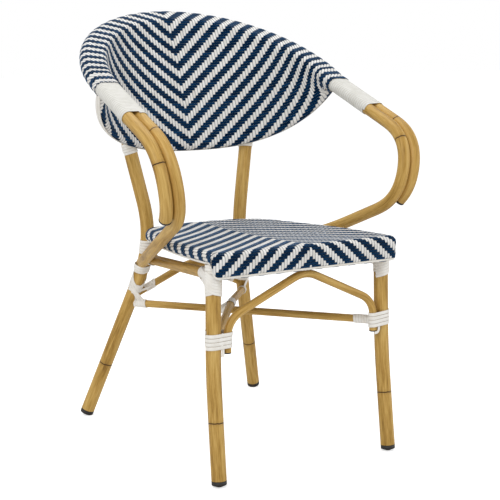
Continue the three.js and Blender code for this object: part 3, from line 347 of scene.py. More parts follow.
front_leg_paint = bamboo_paint("painted cane, front legs", rings=(0.1128,))
rear_leg_paint = bamboo_paint("painted cane, rear legs", rings=(0.1217,))
leg_lines = {}
for side_name, side in SIDES:
    front_line = bent_line(mirrored(FRONT_LEG, side), [60])
    rear_line = bent_line(mirrored(REAR_LEG, side), [92], bend_points=20)
    rear_end = length_at_height(rear_line, REAR_LEG_TOP)
    for end_name, line, start, end, paint in (
            ("front", front_line, FRONT_PLUG_END, None, front_leg_paint),
            ("rear", rear_line, REAR_PLUG_END, rear_end, rear_leg_paint)):
        leg_lines[end_name, side] = line
        tube(f"{end_name}_leg_tube_{side_name}", evenly(line, 12, start, end), LEG_RADIUS,
             paint, f"{end_name}_leg_{side_name}", sides=40)


# Foot plugs
# A black moulded plastic plug is pushed into the bottom of each leg. Its head carries on
# the leg's own outline and narrows to a blunt cone, which floors have worn grey.

PLUG_GAP = 0.3


def object_place(tree):
    return add_node(tree, "ShaderNodeTexCoord").outputs["Object"]


def black_plastic(name, wear_height=None):
    material, tree, skin = start_material(name)
    place = object_place(tree)
    grit = noise(tree, place, 900.0, 3.0)
    haze = noise(tree, place, 90.0, 4.0)
    colour = colour_steps(tree, haze, (0.3, 0.7), ("120f0d", "231e1a"))
    if wear_height:
        rub = remapped(tree, separate(tree, place)[2], 0.0, wear_height, 0.55, 0.0)
        colour = tinted(tree, colour, times(tree, rub, haze), "6a625a")
    rough = graded(tree, haze, 0.25, 0.36)
    dress(tree, skin, colour, rough, grit, 0.25, 0.0003)
    return material


def turned_piece(name, profile, origin, direction, material, slot, node, sides=40):
    direction = unit(direction)
    first = unit(np.cross(direction, [0.3, 1.0, 0.1]))
    second = np.cross(direction, first)
    angles = math.tau * np.arange(sides) / sides
    spokes = np.outer(np.cos(angles), first) + np.outer(np.sin(angles), second)
    vertices = np.vstack([metres(origin) + spokes * radius / 1000 + direction * height / 1000
                          for radius, height in profile])
    vertices[:, 2] = np.maximum(vertices[:, 2], 0.0)
    top = len(vertices) - sides
    faces = []
    for ring in range(0, top, sides):
        for i in range(sides):
            a, b = ring + i, ring + (i + 1) % sides
            faces.append((a, b, b + sides, a + sides))
    faces += [range(sides - 1, -1, -1), range(top, top + sides)]
    mesh = mesh_of(name, vertices, faces)
    mesh.materials.append(material)
    settle(put_in_scene(name, mesh), slot, node, crease=50)


foot_plastic = black_plastic("black plastic, feet", wear_height=0.005)
for side_name, side in SIDES:
    for end_name, start, end in (("front", 0.0, FRONT_PLUG_END - PLUG_GAP),
                                 ("rear", 1.2, REAR_PLUG_END - PLUG_GAP)):
        foot, above = leg_lines[end_name, side][:2]
        profile = [(3.2, start), (4.4, start + 0.15), (14.4, start + 4.3), (15.0, start + 5.0),
                   (15.0, end - 2.2), (14.8, end - 2.0), (14.8, end - 1.5), (15.1, end - 1.3),
                   (15.1, end - 0.2), (14.6, end + 0.1), (12.0, end + 0.2)]
        turned_piece(f"{end_name}_foot_plug_{side_name}", profile, foot, above - foot,
                     foot_plastic, "foot_plug", f"{end_name}_foot_cap_{side_name}")


# Hoop and arms
# Two 25 mm tubes run side by side: round the back, forward and down into the arms. The
# inner one loops back under the seat to the rear leg, the outer one ends in a black plug.

ARM_TUBE = 12.7
PAIR_PITCH = 26.4
HOOP_HALF_WIDTH = 270.5
HOOP_CENTRE_Y = 93.0
HOOP_DEPTH = 222.5
HOOP_SIDE_Z = 765.0
HOOP_RISE = 124.8
OUTER_END_Z = 521.5
UPPER_ARM_Z = 640
ARM_CORNERS = [(276.7, -60.3, 702.8), (281.2, -190, 651), (256.7, -184, OUTER_END_Z),
               (215.5, 0, 440), (133, 228, 364)]


def hoop_point(angle):
    back = np.cos(angle)
    return np.stack([HOOP_HALF_WIDTH * np.sin(angle), HOOP_CENTRE_Y + HOOP_DEPTH * back,
                     HOOP_SIDE_Z + HOOP_RISE * back], axis=-1)


def smoothed(points, passes):
    points = points.copy()
    for _ in range(passes):
        points[1:-1] = points[1:-1] * 0.5 + (points[:-2] + points[2:]) * 0.25
    return points


def directions_along(points):
    ahead = np.vstack([points[1:], points[-1] * 2 - points[-2]])
    behind = np.vstack([points[0] * 2 - points[1], points[:-1]])
    return unit(ahead - behind)


def outward_from(points, along):
    slope = math.hypot(HOOP_DEPTH, HOOP_RISE)
    back = (points[:, 1] - HOOP_CENTRE_Y) / HOOP_DEPTH / slope
    outward = np.zeros_like(points)
    outward[:, 0] = np.where(points[:, 0] < 0, -1, 1)
    rear = points[:, 1] > HOOP_CENTRE_Y
    outward[rear] = np.column_stack([points[:, 0] / HOOP_HALF_WIDTH ** 2,
                                     back * HOOP_DEPTH / slope, back * HOOP_RISE / slope])[rear]
    outward -= along * (outward * along).sum(1, keepdims=True)
    return unit(outward)


half_hoop = hoop_point(np.linspace(0, math.pi / 2, 60))
arm_line = bent_line([half_hoop[-1], *ARM_CORNERS], [20, 76, 55, 60], bend_points=16)
half_line = np.vstack([half_hoop, arm_line[1:]])
whole_line = np.vstack([mirrored(half_line)[:0:-1], half_line])
inner_line = smoothed(evenly(whole_line, 6.0), 6)
inner_along = directions_along(inner_line)
inner_outward = outward_from(inner_line, inner_along)
above_end = np.where(inner_line[:, 2] > OUTER_END_Z)[0]
outer_line = smoothed((inner_line + inner_outward * PAIR_PITCH)[above_end[0]:above_end[-1] + 1], 2)


def rings_at(points, spots):
    reached = lengths_along(metres(points))
    places = []
    for side, y, z in spots:
        away = np.hypot(points[:, 1] - y, points[:, 2] - z) + (points[:, 0] * side < 0) * 1e6
        places.append(float(reached[np.argmin(away)]))
    return places


for name, line, spots in (("inner", inner_line, [(-1, -120, 679), (1, -166, 647)]),
                          ("outer", outer_line, [(-1, -178, 626), (1, -118, 680)])):
    paint = bamboo_paint(f"painted cane, {name} hoop tube", rings=rings_at(line, spots))
    tube(f"{name}_hoop_bent_tube", line, ARM_TUBE, paint, f"{name}_hoop_tube")

plug_plastic = black_plastic("black plastic, end plugs")
ARM_PLUG = [(10.0, -6.0), (12.8, -2.4), (12.9, -2.1), (12.9, 1.7), (12.3, 2.5), (10.6, 2.95),
            (6.0, 3.2), (1.0, 3.3)]
for side_name, end, before in (("left", *outer_line[:2]), ("right", *outer_line[:-3:-1])):
    turned_piece(f"arm_end_plug_{side_name}", ARM_PLUG, end, end - before, plug_plastic,
                 "end_plug", f"arm_end_cap_{side_name}")


# Rails under the seat
# A 22 mm rail runs down each side from the front leg to the rear leg, and a shorter one
# joins the rear legs. They are welded on before the frame is painted.

RAIL_RADIUS = 11
RAIL_FRONT = (200.3, -202.5, 411)
RAIL_REAR_X = 122
RAIL_REAR_Z = 373
REAR_RAIL_RADIUS = 10.5
REAR_RAIL_Y = 204.1
REAR_RAIL_Z = 410.35
rail_paint = bamboo_paint("painted cane, rails")


def leg_place(end_name, side, height):
    line = leg_lines[end_name, side]
    return place_on(line, length_at_height(line, height))


for side_name, side in SIDES:
    rear = leg_place("rear", side, RAIL_REAR_Z)
    rear[0] = side * RAIL_REAR_X
    rail = np.array([mirrored(RAIL_FRONT, side), rear])
    tube(f"side_rail_tube_{side_name}", evenly(rail, 30), RAIL_RADIUS, rail_paint,
         f"side_rail_{side_name}")
reach = leg_place("rear", 1, REAR_RAIL_Z)[0] - 12
rail = np.array([(-reach, REAR_RAIL_Y, REAR_RAIL_Z), (reach, REAR_RAIL_Y, REAR_RAIL_Z)])
tube("rear_rail_tube", evenly(rail, 30), REAR_RAIL_RADIUS, rail_paint, "rear_rail")


# Braces
# A 16 mm tube is bent to a low gable between the front legs, its plugged ends standing
# beside them in a lashing. A second gable joins the rear legs.

BRACE_RADIUS = 8
BRACE_END = (176, -212.5, 259.5)
BRACE_KNEE = (176, -212.5, 322)
BRACE_PLUG = [(6.0, -4.0), (7.9, 0.1), (8.0, 0.4), (8.0, 1.9), (7.4, 2.6), (4.0, 2.95), (0.8, 3.0)]
brace_paint = bamboo_paint("painted cane, braces", run=5.0)


def thin_tube(name, line, node, spacing=6, start=0.0, end=None):
    tube(name, evenly(line, spacing, start, end), BRACE_RADIUS, brace_paint, node, sides=24)


front_brace_line = bent_line([mirrored(BRACE_END), mirrored(BRACE_KNEE), (0, -219, 402.5),
                              BRACE_KNEE, BRACE_END], [36, 30, 36])
thin_tube("front_brace_tube", front_brace_line, "front_brace", spacing=4)
for side_name, side in SIDES:
    turned_piece(f"brace_end_plug_{side_name}", BRACE_PLUG, mirrored(BRACE_END, side),
                 (0, 0, -1), plug_plastic, "end_plug", f"brace_cap_{side_name}", sides=28)
rear_brace_line = bent_line(
    [leg_place("rear", -1, 284), (0, 231, 357), leg_place("rear", 1, 284)], [30])
thin_tube("rear_brace_tube", rear_brace_line, "rear_brace", spacing=4, start=11,
          end=lengths_along(rear_brace_line)[-1] - 11)


# Crossed stretchers
# Two 16 mm tubes tie each rear leg to the front leg across from it. One is straight and
# the other is bent up a little, so that it lies on the first where they cross.

CROSS_RISE = 16.35
rear_left, rear_right = (leg_place("rear", side, 269.5) for side in (-1, 1))
front_left, front_right = (leg_place("front", side, 275.5) for side in (-1, 1))
straight_line = np.array([rear_left, front_right])
crossing_share = rear_left[0] / (rear_left[0] - front_right[0])
crossing = rear_left + (front_right - rear_left) * crossing_share
lift = CROSS_RISE * (1 + 60 / np.linalg.norm(front_right - rear_left) * 2)
arched_line = bent_line([rear_right, crossing + [0, 0, lift], front_left], [60])
STRETCHERS = (("straight", straight_line), ("arched", arched_line))
for name, line in STRETCHERS:
    thin_tube(f"stretcher_{name}_tube", line, f"stretcher_{name}", start=11,
              end=lengths_along(line)[-1] - 26)


# Tubes hidden in the weave
# The seat's ring tube, the apron rail and the lower rim of the back stay as packed. They
# show only from below and through the gaps between strands.

def grain_place(tree):
    return reckon_vector(tree, "MULTIPLY", object_place(tree), (40.0, 40.0, 40.0))


inside_paint = bamboo_paint("painted cane, inside the weave", place=grain_place, run=1.0)
for name in ("seat_tube", "apron_rail", "back_lower_rim"):
    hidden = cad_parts[name].data.materials
    hidden.clear()
    hidden.append(inside_paint)


# Woven seat
# Flat plastic strands, cream front to back and navy side to side, woven three over and
# three under into a chevron, drawn over the seat's tube and down the apron.

WEAVE_SPREAD = 256.0
CREAM_PITCH = 6.63
NAVY_PITCH = 5.85
STRAND_LIFT = 0.62
STRAND_THICKNESS = 1.15
STRAND_WIDTH_SHARE = 0.97
CUTS_PER_CELL = 2.0
CELLS_PER_HALF_WAVE = 3


def clamped(tree, value, gain):
    return add(tree, "ShaderNodeClamp", {0: times(tree, value, gain), 1: -1.0, 2: 1.0})


def woven_strand_tree():
    tree, ask = start_tree("woven strands", {
        "Strands": "Int", "First Strand": "Int", "Run Start": "Float", "Run Cells": "Int",
        "Crosswise": "Bool", "Width": "Float", "Thickness": "Float", "Lift": "Float",
        "Chevron": "Float", "Offset": "Float", "Strand": "Material"})
    run = times(tree, ask["Run Cells"], 1.0)
    run_end = reckon(tree, "ADD", ask["Run Start"], run)
    line = add(tree, "GeometryNodeCurvePrimitiveLine", {
        "Start": combine(tree, 0.0, ask["Run Start"]), "End": combine(tree, 0.0, run_end)})
    stepped = add(tree, "GeometryNodeResampleCurve", {
        "Curve": line, "Count": graded(tree, run, CUTS_PER_CELL, 1.0)})
    flat = add(tree, "GeometryNodeTransform", {
        "Geometry": circle(tree, 6, 0.5),
        "Scale": combine(tree, ask["Width"], ask["Thickness"], 1.0)})
    strand = add(tree, "GeometryNodeCurveToMesh", {"Curve": stepped, "Profile Curve": flat})
    first = combine(tree, times(tree, ask["First Strand"], 1.0))
    row = add(tree, "GeometryNodeMeshLine", {
        "Count": ask["Strands"], "Start Location": first, "Offset": (1.0, 0.0, 0.0)})
    laid = add(tree, "GeometryNodeInstanceOnPoints", {"Points": row, "Instance": strand})
    field = add(tree, "GeometryNodeRealizeInstances", {0: laid})
    position = add(tree, "GeometryNodeInputPosition")
    aside, onward, proud = separate(tree, position)
    middle = reckon(tree, "ROUND", aside)
    marks = combine(tree, reckon(tree, "SUBTRACT", aside, middle), onward, middle)
    marked = store(tree, field, "strand", marks)

    def choose(when_along, when_across):
        return add(tree, "GeometryNodeSwitch", {
            "Switch": ask["Crosswise"], "False": when_along, "True": when_across},
            input_type="FLOAT")

    # The weave's columns and rows at this spot: a strand keeps its own whole number
    column = choose(middle, onward)
    row_number = choose(onward, middle)
    turn = graded(tree, reckon(tree, "ABSOLUTE", column), ask["Chevron"], row_number)
    turn = reckon(tree, "ADD", reckon(tree, "ADD", turn, ask["Offset"]), 0.5)
    wave = reckon(tree, "SINE", times(tree, turn, math.pi / CELLS_PER_HALF_WAVE))
    steep = clamped(tree, wave, 1.9)
    arch = graded(tree, wave, 0.28, graded(tree, steep, 0.72, -0.28))
    height = times(tree, times(tree, arch, choose(1.0, -1.0)), ask["Lift"])
    height = reckon(tree, "ADD", height, proud)
    sheet_place = combine(tree, *(graded(tree, value, 1 / WEAVE_SPREAD, 0.5) for value in (
        choose(aside, onward), choose(onward, aside))))

    def sampled(value):
        return add_node(tree, "GeometryNodeSampleUVSurface", {
            "Mesh": ask["Geometry"], "Value": value, "Source UV Map": named(tree, "weave"),
            "Sample UV": sheet_place}, data_type="FLOAT_VECTOR").outputs

    place, found = sampled(position)
    outward = reckon_vector(tree, "NORMALIZE", sampled(named(tree, "outward"))[0])
    landed = reckon_vector(tree, "ADD", place,
                           reckon_vector(tree, "SCALE", outward, Scale=height))
    inside = store(tree, marked, "inside", found, "BOOLEAN")
    moved = add(tree, "GeometryNodeSetPosition", {"Geometry": inside, "Position": landed})
    outside = add(tree, "FunctionNodeBooleanMath", {0: named(tree, "inside", "BOOLEAN")},
                  operation="NOT")
    trimmed = add(tree, "GeometryNodeDeleteGeometry", {
        "Geometry": moved, "Selection": outside}, domain="POINT")
    return end_tree(tree, trimmed, ask["Strand"])


WOVEN_STRANDS = woven_strand_tree()


def flat_strand_group():
    tree, ask = start_group("Shader", "flat strand", {"Place": "Vector"},
                            {"Shade": "Float", "Height": "Float", "Roughness": "Float"})
    across, onward, number = separate(tree, ask["Place"])
    own = add(tree, "ShaderNodeTexWhiteNoise", {"W": number}, noise_dimensions="1D")
    patch = noise(tree, combine(tree, times(tree, number, 7.3),
                                times(tree, onward, 0.33)), 1.0, 1.0)
    fine = noise(tree, combine(tree, times(tree, across, 40.0),
                               times(tree, onward, 1.2), number), 1.0, 3.0)
    groove = reckon(tree, "COSINE", times(tree, across, 26.0))
    add_node(tree, "NodeGroupOutput", {
        "Shade": graded(tree, own, 0.4, times(tree, patch, 0.6)),
        "Height": graded(tree, fine, 0.8, groove),
        "Roughness": graded(tree, fine, 0.2, 0.36)})
    return tree


FLAT_STRAND = flat_strand_group()


def start_strand(name, specular):
    material, tree, skin = start_material(name)
    place = read_attribute(tree, "strand")
    body = add_node(tree, "ShaderNodeGroup", {"Place": place}, node_tree=FLAT_STRAND).outputs
    wire(skin, {"Specular IOR Level": specular})
    from_middle = reckon(tree, "ABSOLUTE", separate(tree, place)[0])
    return material, tree, skin, body, from_middle


def strand_plastic(name, dark, middle, light, gap_shade, specular, sheen=0.0):
    material, tree, skin, body, from_middle = start_strand(name, specular)
    colour = colour_steps(tree, body["Shade"], (0.25, 0.5, 0.75), (dark, middle, light))
    # Painted shade: the strand's sides are darkened towards their fourth colour, standing in for
    # the shade in the gaps between neighbouring strands.
    painted_gap_shade = remapped(tree, from_middle, 0.27, 0.47, 0.0, 1.0)
    colour = tinted(tree, colour, times(tree, painted_gap_shade, 0.75), gap_shade)
    dress(tree, skin, colour, body["Roughness"], body["Height"], 0.35, 0.0004)
    if sheen:
        wire(skin, {"Sheen Weight": sheen, "Sheen Roughness": 0.35,
                    "Sheen Tint": (0.30, 0.55, 0.95, 1.0)})
    return material


# The fourth colour of each strand is painted shade, laid on its sides where it meets its
# neighbours.
cream_strand = strand_plastic("cream strand", "e3e0da", "edebe7", "f6f5f2", "94979b", 0.30)
navy_strand = strand_plastic("navy strand", "001f3a", "022a49", "0b3a60", "000b20", 0.05,
                             sheen=0.45)


def woven(name, sheet, span_u, span_v, chevron, offset, nodes):
    for kind, crosswise, strands, run, material in (
            ("cream", False, span_u, span_v, cream_strand),
            ("navy", True, span_v, span_u, navy_strand)):
        piece = grown(f"{name}_{kind}_strands", sheet.copy(), WOVEN_STRANDS, {
            "Strands": strands[1] - strands[0] + 1, "First Strand": strands[0],
            "Run Start": float(run[0]), "Run Cells": run[1] - run[0], "Crosswise": crosswise,
            "Width": STRAND_WIDTH_SHARE, "Thickness": STRAND_THICKNESS / 1000,
            "Lift": STRAND_LIFT / 1000, "Chevron": float(chevron), "Offset": float(offset),
            "Strand": material})
        settle(piece, "woven_strand", *nodes, crease=75)


def facing_of(places, u, v):
    cross = np.cross(np.gradient(places, axis=1), np.gradient(places, axis=0))
    turn = (np.gradient(u, axis=1) * np.gradient(v, axis=0)
            - np.gradient(u, axis=0) * np.gradient(v, axis=1))
    facing = unit(cross) * np.sign(turn)[..., None]
    flat = np.linalg.norm(facing, axis=-1) < 0.5
    for row in range(len(facing) - 2, -1, -1):
        facing[row][flat[row]] = facing[row + 1][flat[row]]
    return facing


def fabric_mesh(name, parts):
    vertices, outward, weave, faces = [], [], [], []
    for places, u, v in parts:
        rows, columns = places.shape[:2]
        start = sum(len(block) for block in vertices)
        spots = np.stack([u, v], axis=-1).reshape(-1, 2)
        vertices.append(places.reshape(-1, 3))
        outward.append(facing_of(places, u, v).reshape(-1, 3))
        weave.append(spots)
        for i in range(rows - 1):
            for j in range(columns - 1):
                a = i * columns + j
                face = []
                for corner in (a, a + 1, a + columns + 1, a + columns):
                    if all(np.abs(spots[corner] - spots[k]).max() > 1e-5 for k in face):
                        face.append(corner)
                if len(face) > 2:
                    faces.append([start + corner for corner in face])
    vertices, outward, weave = map(np.vstack, (vertices, outward, weave))
    mesh = mesh_of(name, metres(vertices), faces, outward=outward)
    corners = np.zeros(len(mesh.loops), np.int32)
    mesh.loops.foreach_get("vertex_index", corners)
    spread = (weave[corners] / WEAVE_SPREAD + 0.5).astype(np.float32)
    mesh.uv_layers.new(name="weave").data.foreach_set("uv", spread.ravel())
    return mesh


SEAT_FRONT_Y = -240.0
SEAT_REAR_Y = 218.0
SEAT_FRONT_Z = 458.0
SEAT_REAR_Z = 449.0
SEAT_SAG = 5.0
SHEET_DEPTH = 1.3
SEAT_HALF_WIDTH = 218.5
CORNER_RADIUS = 14.0
OUTLINE_COUNT = 150
SEAT_EDGE_RADIUS = 12.6
SEAT_EDGE_INSET = 13.9
APRON_DROP = 54.0
SIDE_DROP = 27.8
APRON_RETURN = 20.0
SEAT_SIDE = [(218.5, -217), (217, -150), (213, -90), (206, -40), (197.5, 5), (189.5, 40),
             (178, 90), (166, 148), (146, 183), (107, 205), (55, 215.5), (0, 218)]


def seat_half_outline():
    centre = (SEAT_HALF_WIDTH - CORNER_RADIUS, SEAT_FRONT_Y + CORNER_RADIUS)
    turn = np.linspace(0, math.pi / 2, 10)
    corner = centre + CORNER_RADIUS * np.stack([np.sin(turn), -np.cos(turn)], axis=-1)
    rough = np.vstack([[(0, SEAT_FRONT_Y)], corner, SEAT_SIDE])
    even = evenly(np.vstack([rough, (rough * [-1, 1])[::-1][1:]]), 3.0)
    side_part = even[:, 1] > SEAT_FRONT_Y + 30
    even[side_part] = smoothed(even, 40)[side_part]
    right = even[:int(np.argmax(even[:, 1])) + 1]
    right[-1, 0] = 0
    return evenly(right, lengths_along(right)[-1] / OUTLINE_COUNT)


half_edge = seat_half_outline()
outline = np.vstack([half_edge, (half_edge * [-1, 1])[-2:0:-1], half_edge[:1]])
edge_along = np.gradient(outline, axis=0)
edge_along[0] = edge_along[-1] = (1, 0)
edge_out = unit(np.stack([edge_along[:, 1], -edge_along[:, 0]], axis=-1))
edge_length = lengths_along(outline)
full_edge = edge_length[-1]
signed_length = np.where(edge_length > full_edge / 2, edge_length - full_edge, edge_length)
inset_outline = outline - edge_out * SEAT_EDGE_INSET


def seat_top(y):
    share = (y - SEAT_FRONT_Y) / (SEAT_REAR_Y - SEAT_FRONT_Y)
    return SEAT_FRONT_Z + (SEAT_REAR_Z - SEAT_FRONT_Z) * share - SHEET_DEPTH


def seat_sheet(count):
    centre = np.array([0.0, (SEAT_FRONT_Y + SEAT_REAR_Y) / 2])
    steps = np.linspace(-1, 1, count * 2 + 1)
    across, back = np.meshgrid(steps, steps)
    ring = np.maximum(np.abs(across), np.abs(back))
    safe = np.where(ring < 1e-9, 1, ring)
    a, b = across / safe, back / safe
    on_side = np.abs(a) >= np.abs(b)
    round_share = np.select([on_side & (a < 0), on_side & (a > 0), (b < 0) & (a < 0), b < 0, b > 0],
                            [6 - b, 2 + b, 8 + a, a, 4 - a], 0)
    rim = between(round_share / 8 * full_edge, edge_length, inset_outline)
    flat = centre + (rim - centre) * ring[..., None]
    return np.dstack([flat, seat_top(flat[..., 1]) - SEAT_SAG * (1 - ring ** 2)])


def seat_edge_ring(turn, fall):
    inset = SEAT_EDGE_INSET - SEAT_EDGE_RADIUS * np.sin(turn)
    height = seat_top(outline[:, 1]) - SEAT_EDGE_RADIUS * (1 - np.cos(turn)) - fall
    return np.column_stack([outline - edge_out * inset, height])


ROW_SHIFT = 0.6


def weave_v(reach):
    return reach / NAVY_PITCH + ROW_SHIFT


FRONT_ROW = SEAT_FRONT_Y + SEAT_EDGE_INSET
top_places = seat_sheet(36)
seat_parts = [(top_places, top_places[..., 0] / CREAM_PITCH,
               weave_v(top_places[..., 1] - FRONT_ROW))]

return_share = np.clip((outline[:, 1] - SEAT_FRONT_Y) / APRON_RETURN, 0, 1)
straight_fall = APRON_DROP + (SIDE_DROP - APRON_DROP) * return_share ** 2 - SIDE_DROP
stations = [(turn, 0) for turn in np.linspace(0, math.pi / 2, 8)]
stations += [(math.pi / 2, share) for share in np.linspace(0, 1, 8)[1:]]
stations += [(turn, 1) for turn in np.linspace(math.pi / 2, math.pi * 0.98, 8)[1:]]
edge_places = np.stack([seat_edge_ring(turn, straight_fall * share) for turn, share in stations])
edge_reach = np.stack([turn * SEAT_EDGE_RADIUS + straight_fall * share
                       for turn, share in stations])
side_u = (inset_outline[:, 0] + edge_out[:, 0] * edge_reach) / CREAM_PITCH
side_v = weave_v(inset_outline[:, 1] + edge_out[:, 1] * edge_reach - FRONT_ROW)
front_u = np.broadcast_to(signed_length / CREAM_PITCH, edge_reach.shape)
front_v = weave_v(-edge_reach)
wrap = len(outline) - 1
on_front = np.where(outline[:, 1] < SEAT_FRONT_Y + APRON_RETURN)[0]
first_front = on_front[on_front > wrap // 2][0]
last_front = on_front[on_front < wrap // 2][-1]
front_columns = np.arange(first_front, wrap + last_front + 1) % wrap
side_columns = np.arange(last_front, first_front + 1)
for columns, u, v in ((front_columns, front_u, front_v), (side_columns, side_u, side_v)):
    seat_parts.append((edge_places[:, columns], u[:, columns], v[:, columns]))
woven("seat", fabric_mesh("seat fabric", seat_parts), (-44, 44), (-16, 84), 1, 4.0,
      ["seat_weave"])


# Woven back
# The same strands fill the back between its lower rim and the hoop. They go on round both
# tubes of the hoop in one cover, and round the thin tube of the lower rim.

RIM_TIP = 0.905 * math.pi / 2
HOOP_TIP = 0.975 * math.pi / 2
RIM_HALF_WIDTH = 286.0
RIM_TIP_Y = 70
RIM_DEPTH = 169
RIM_LOW_Z = 617.6
RIM_RISE = 160
RIM_ROUNDNESS = 2 / 2.2
BACK_CREAM_PITCH = 7.2
BACK_NAVY_PITCH = 5.73
BACK_ROW_SHIFT = 0.41
SLEEVE_RADIUS = 14.8
SLEEVE_FRONT_Y = 64.5
RIM_WRAP_RADIUS = 8.45
LEAST_JOIN_REACH = 15.6
JOIN_REACH = 26.0
JOIN_FRONT = 13.8


def rim_point(share):
    angle = share * RIM_TIP
    across = np.abs(np.sin(angle)) ** RIM_ROUNDNESS
    back = np.cos(angle) ** RIM_ROUNDNESS
    return np.stack([np.sign(share) * RIM_HALF_WIDTH * across, RIM_TIP_Y + RIM_DEPTH * back,
                     RIM_LOW_Z + RIM_RISE * (1 - back) ** 1.15], axis=-1)


shares = np.linspace(-1, 1, 121)
small_step = 1e-3
rim_places = rim_point(shares)
rim_along = unit(rim_point(shares + 0.01) - rim_point(shares - 0.01))
hoop_places = hoop_point(shares * HOOP_TIP)
hoop_along = unit(hoop_point(shares * HOOP_TIP + small_step)
                  - hoop_point(shares * HOOP_TIP - small_step))
ruling = hoop_places - rim_places
ruling_length = np.linalg.norm(ruling, axis=1, keepdims=True)
rim_up = unit(ruling - rim_along * (ruling * rim_along).sum(1, keepdims=True))
rim_inward = unit(np.cross(rim_along, rim_up))
join_reach = np.clip(ruling_length * 0.62, LEAST_JOIN_REACH, JOIN_REACH)


def section_axes(places, along, down):
    outward = outward_from(places, along)
    upward = np.cross(along, outward)
    upward *= np.sign(upward[:, 2:])
    turn = np.arctan2((down * upward).sum(1), (down * outward).sum(1))[:, None]
    front = outward * np.sin(turn) - upward * np.cos(turn)
    return outward, upward, turn, front


hoop_front = section_axes(hoop_places, hoop_along, -ruling)[3]


def rim_spoke(angle):
    return rim_inward * math.cos(angle) + rim_up * math.sin(angle)


panel_rows = np.stack([
    rim_places + ruling * (rise * (1 - join_reach / ruling_length))
    + rim_inward * RIM_WRAP_RADIUS * (1 - rise) + hoop_front * JOIN_FRONT * rise
    for rise in np.linspace(0, 1, 20)])
plan_steps = np.linalg.norm(np.diff(panel_rows[..., :2], axis=1), axis=-1)
plan_reach = np.concatenate([np.zeros((len(panel_rows), 1)), np.cumsum(plan_steps, 1)], 1)
middle = len(shares) // 2
panel_across = plan_reach - plan_reach[:, middle:middle + 1]
panel_up = (panel_rows[..., 2] - (RIM_LOW_Z + 0.6 * (rim_places[:, 2] - RIM_LOW_Z))) * 1.03


def outward_in_weave(across, up, sign):
    turn = np.arctan2(np.gradient(up), np.gradient(across)) * sign
    half = len(turn) // 2
    turn[half:] = np.minimum.accumulate(turn[half:])
    turn[:half] = np.maximum.accumulate(turn[:half][::-1])[::-1]
    turn = turn * sign
    return np.stack([-np.sin(turn), np.cos(turn)], axis=-1) * sign


def in_weave(across, up):
    return across / BACK_CREAM_PITCH, up / BACK_NAVY_PITCH + BACK_ROW_SHIFT


def laid_beyond(edge_across, edge_up, normal, reach):
    return in_weave(edge_across + normal[:, 0] * reach, edge_up + normal[:, 1] * reach)


rim_normal = outward_in_weave(panel_across[0], panel_up[0], -1)
rim_turns = np.linspace(0, math.radians(-250), 16)
rim_rows = np.stack([rim_places + rim_spoke(angle) * RIM_WRAP_RADIUS for angle in rim_turns])
rim_reach = -rim_turns[:, None] * RIM_WRAP_RADIUS

beyond = np.where((inner_line[:, 0] > 0) & (inner_line[:, 1] < hoop_places[-1, 1] - 2)
                  & (inner_line[:, 1] > SLEEVE_FRONT_Y - 6) & (inner_line[:, 2] > UPPER_ARM_Z))[0]
beyond_places = inner_line[beyond]
last_step = beyond_places[-2] - beyond_places[-1]
beyond_places[-1] += last_step * ((SLEEVE_FRONT_Y - beyond_places[-1, 1]) / last_step[1])
count_beyond = len(beyond)


def with_both_ends(between_ends, right_end, turn):
    return np.concatenate([(right_end * np.array(turn))[::-1], between_ends, right_end])


def held_on(values):
    return np.repeat(values[-1:], count_beyond, axis=0)


sleeve_places = with_both_ends(hoop_places, beyond_places, [-1, 1, 1])
sleeve_along = with_both_ends(hoop_along, inner_along[beyond], [1, -1, -1])
sleeve_down = with_both_ends(-ruling, held_on(-ruling), [-1, 1, 1])
sleeve_join = with_both_ends(join_reach, np.full((count_beyond, 1), LEAST_JOIN_REACH), 1)[:, 0]


def sleeve_arc(centre, start, end, count):
    return [(centre + SLEEVE_RADIUS * math.cos(turn), SLEEVE_RADIUS * math.sin(turn))
            for turn in np.linspace(start, end, count)]


def sleeve_column(place, outward, upward, panel_turn, front, down, reach):
    start = place + unit(down) * reach + front * JOIN_FRONT
    lift_turn = (panel_turn[0] - math.atan2(JOIN_FRONT, reach)
                 - math.acos(SLEEVE_RADIUS / math.hypot(JOIN_FRONT, reach)))
    flat = sleeve_arc(0, lift_turn, -1.5 * math.pi, 14)
    flat += [(PAIR_PITCH * share, SLEEVE_RADIUS) for share in (0.25, 0.5, 0.75)]
    flat += sleeve_arc(PAIR_PITCH, math.pi / 2, -math.pi / 2, 16)
    flat += [(PAIR_PITCH * share, -SLEEVE_RADIUS) for share in (0.8, 0.6, 0.4, 0.2)]
    solid = [place + outward * x + upward * y for x, y in flat]
    blend = [start + (solid[0] - start) * share for share in (0, 0.33, 0.66)]
    last = place + unit(down) * max(LEAST_JOIN_REACH, reach * 0.8)
    tail = [solid[-1] + (last - solid[-1]) * share for share in (0.5, 0.97)]
    return np.array(blend + solid + tail)


sleeve_axes = section_axes(sleeve_places, sleeve_along, sleeve_down)
sleeve_rows = np.stack([sleeve_column(*station) for station in zip(
    sleeve_places, *sleeve_axes, sleeve_down, sleeve_join)], axis=1)
sleeve_steps = np.diff(sleeve_rows, axis=0)
aside_steps = (sleeve_steps * sleeve_along).sum(-1)
climb_steps = np.sqrt(np.maximum((sleeve_steps ** 2).sum(-1) - aside_steps ** 2, 0))
join_row = np.zeros((1, len(sleeve_places)))
sleeve_reach = np.vstack([join_row, np.cumsum(climb_steps, 0)])
sleeve_aside = np.vstack([join_row, np.cumsum(aside_steps, 0)])
top_across, top_up = panel_across[-1], panel_up[-1]
top_normal = outward_in_weave(top_across, top_up, 1)
run_beyond = lengths_along(np.vstack([hoop_places[-1:], beyond_places]))[1:]
tip_across, tip_up = unit(np.array([top_across[-1] - top_across[-2], top_up[-1] - top_up[-2]]))
ahead_across = top_across[-1] + tip_across * run_beyond
ahead_up = top_up[-1] + tip_up * run_beyond
edge_across = with_both_ends(top_across, ahead_across, -1)
edge_up = with_both_ends(top_up, ahead_up, 1)
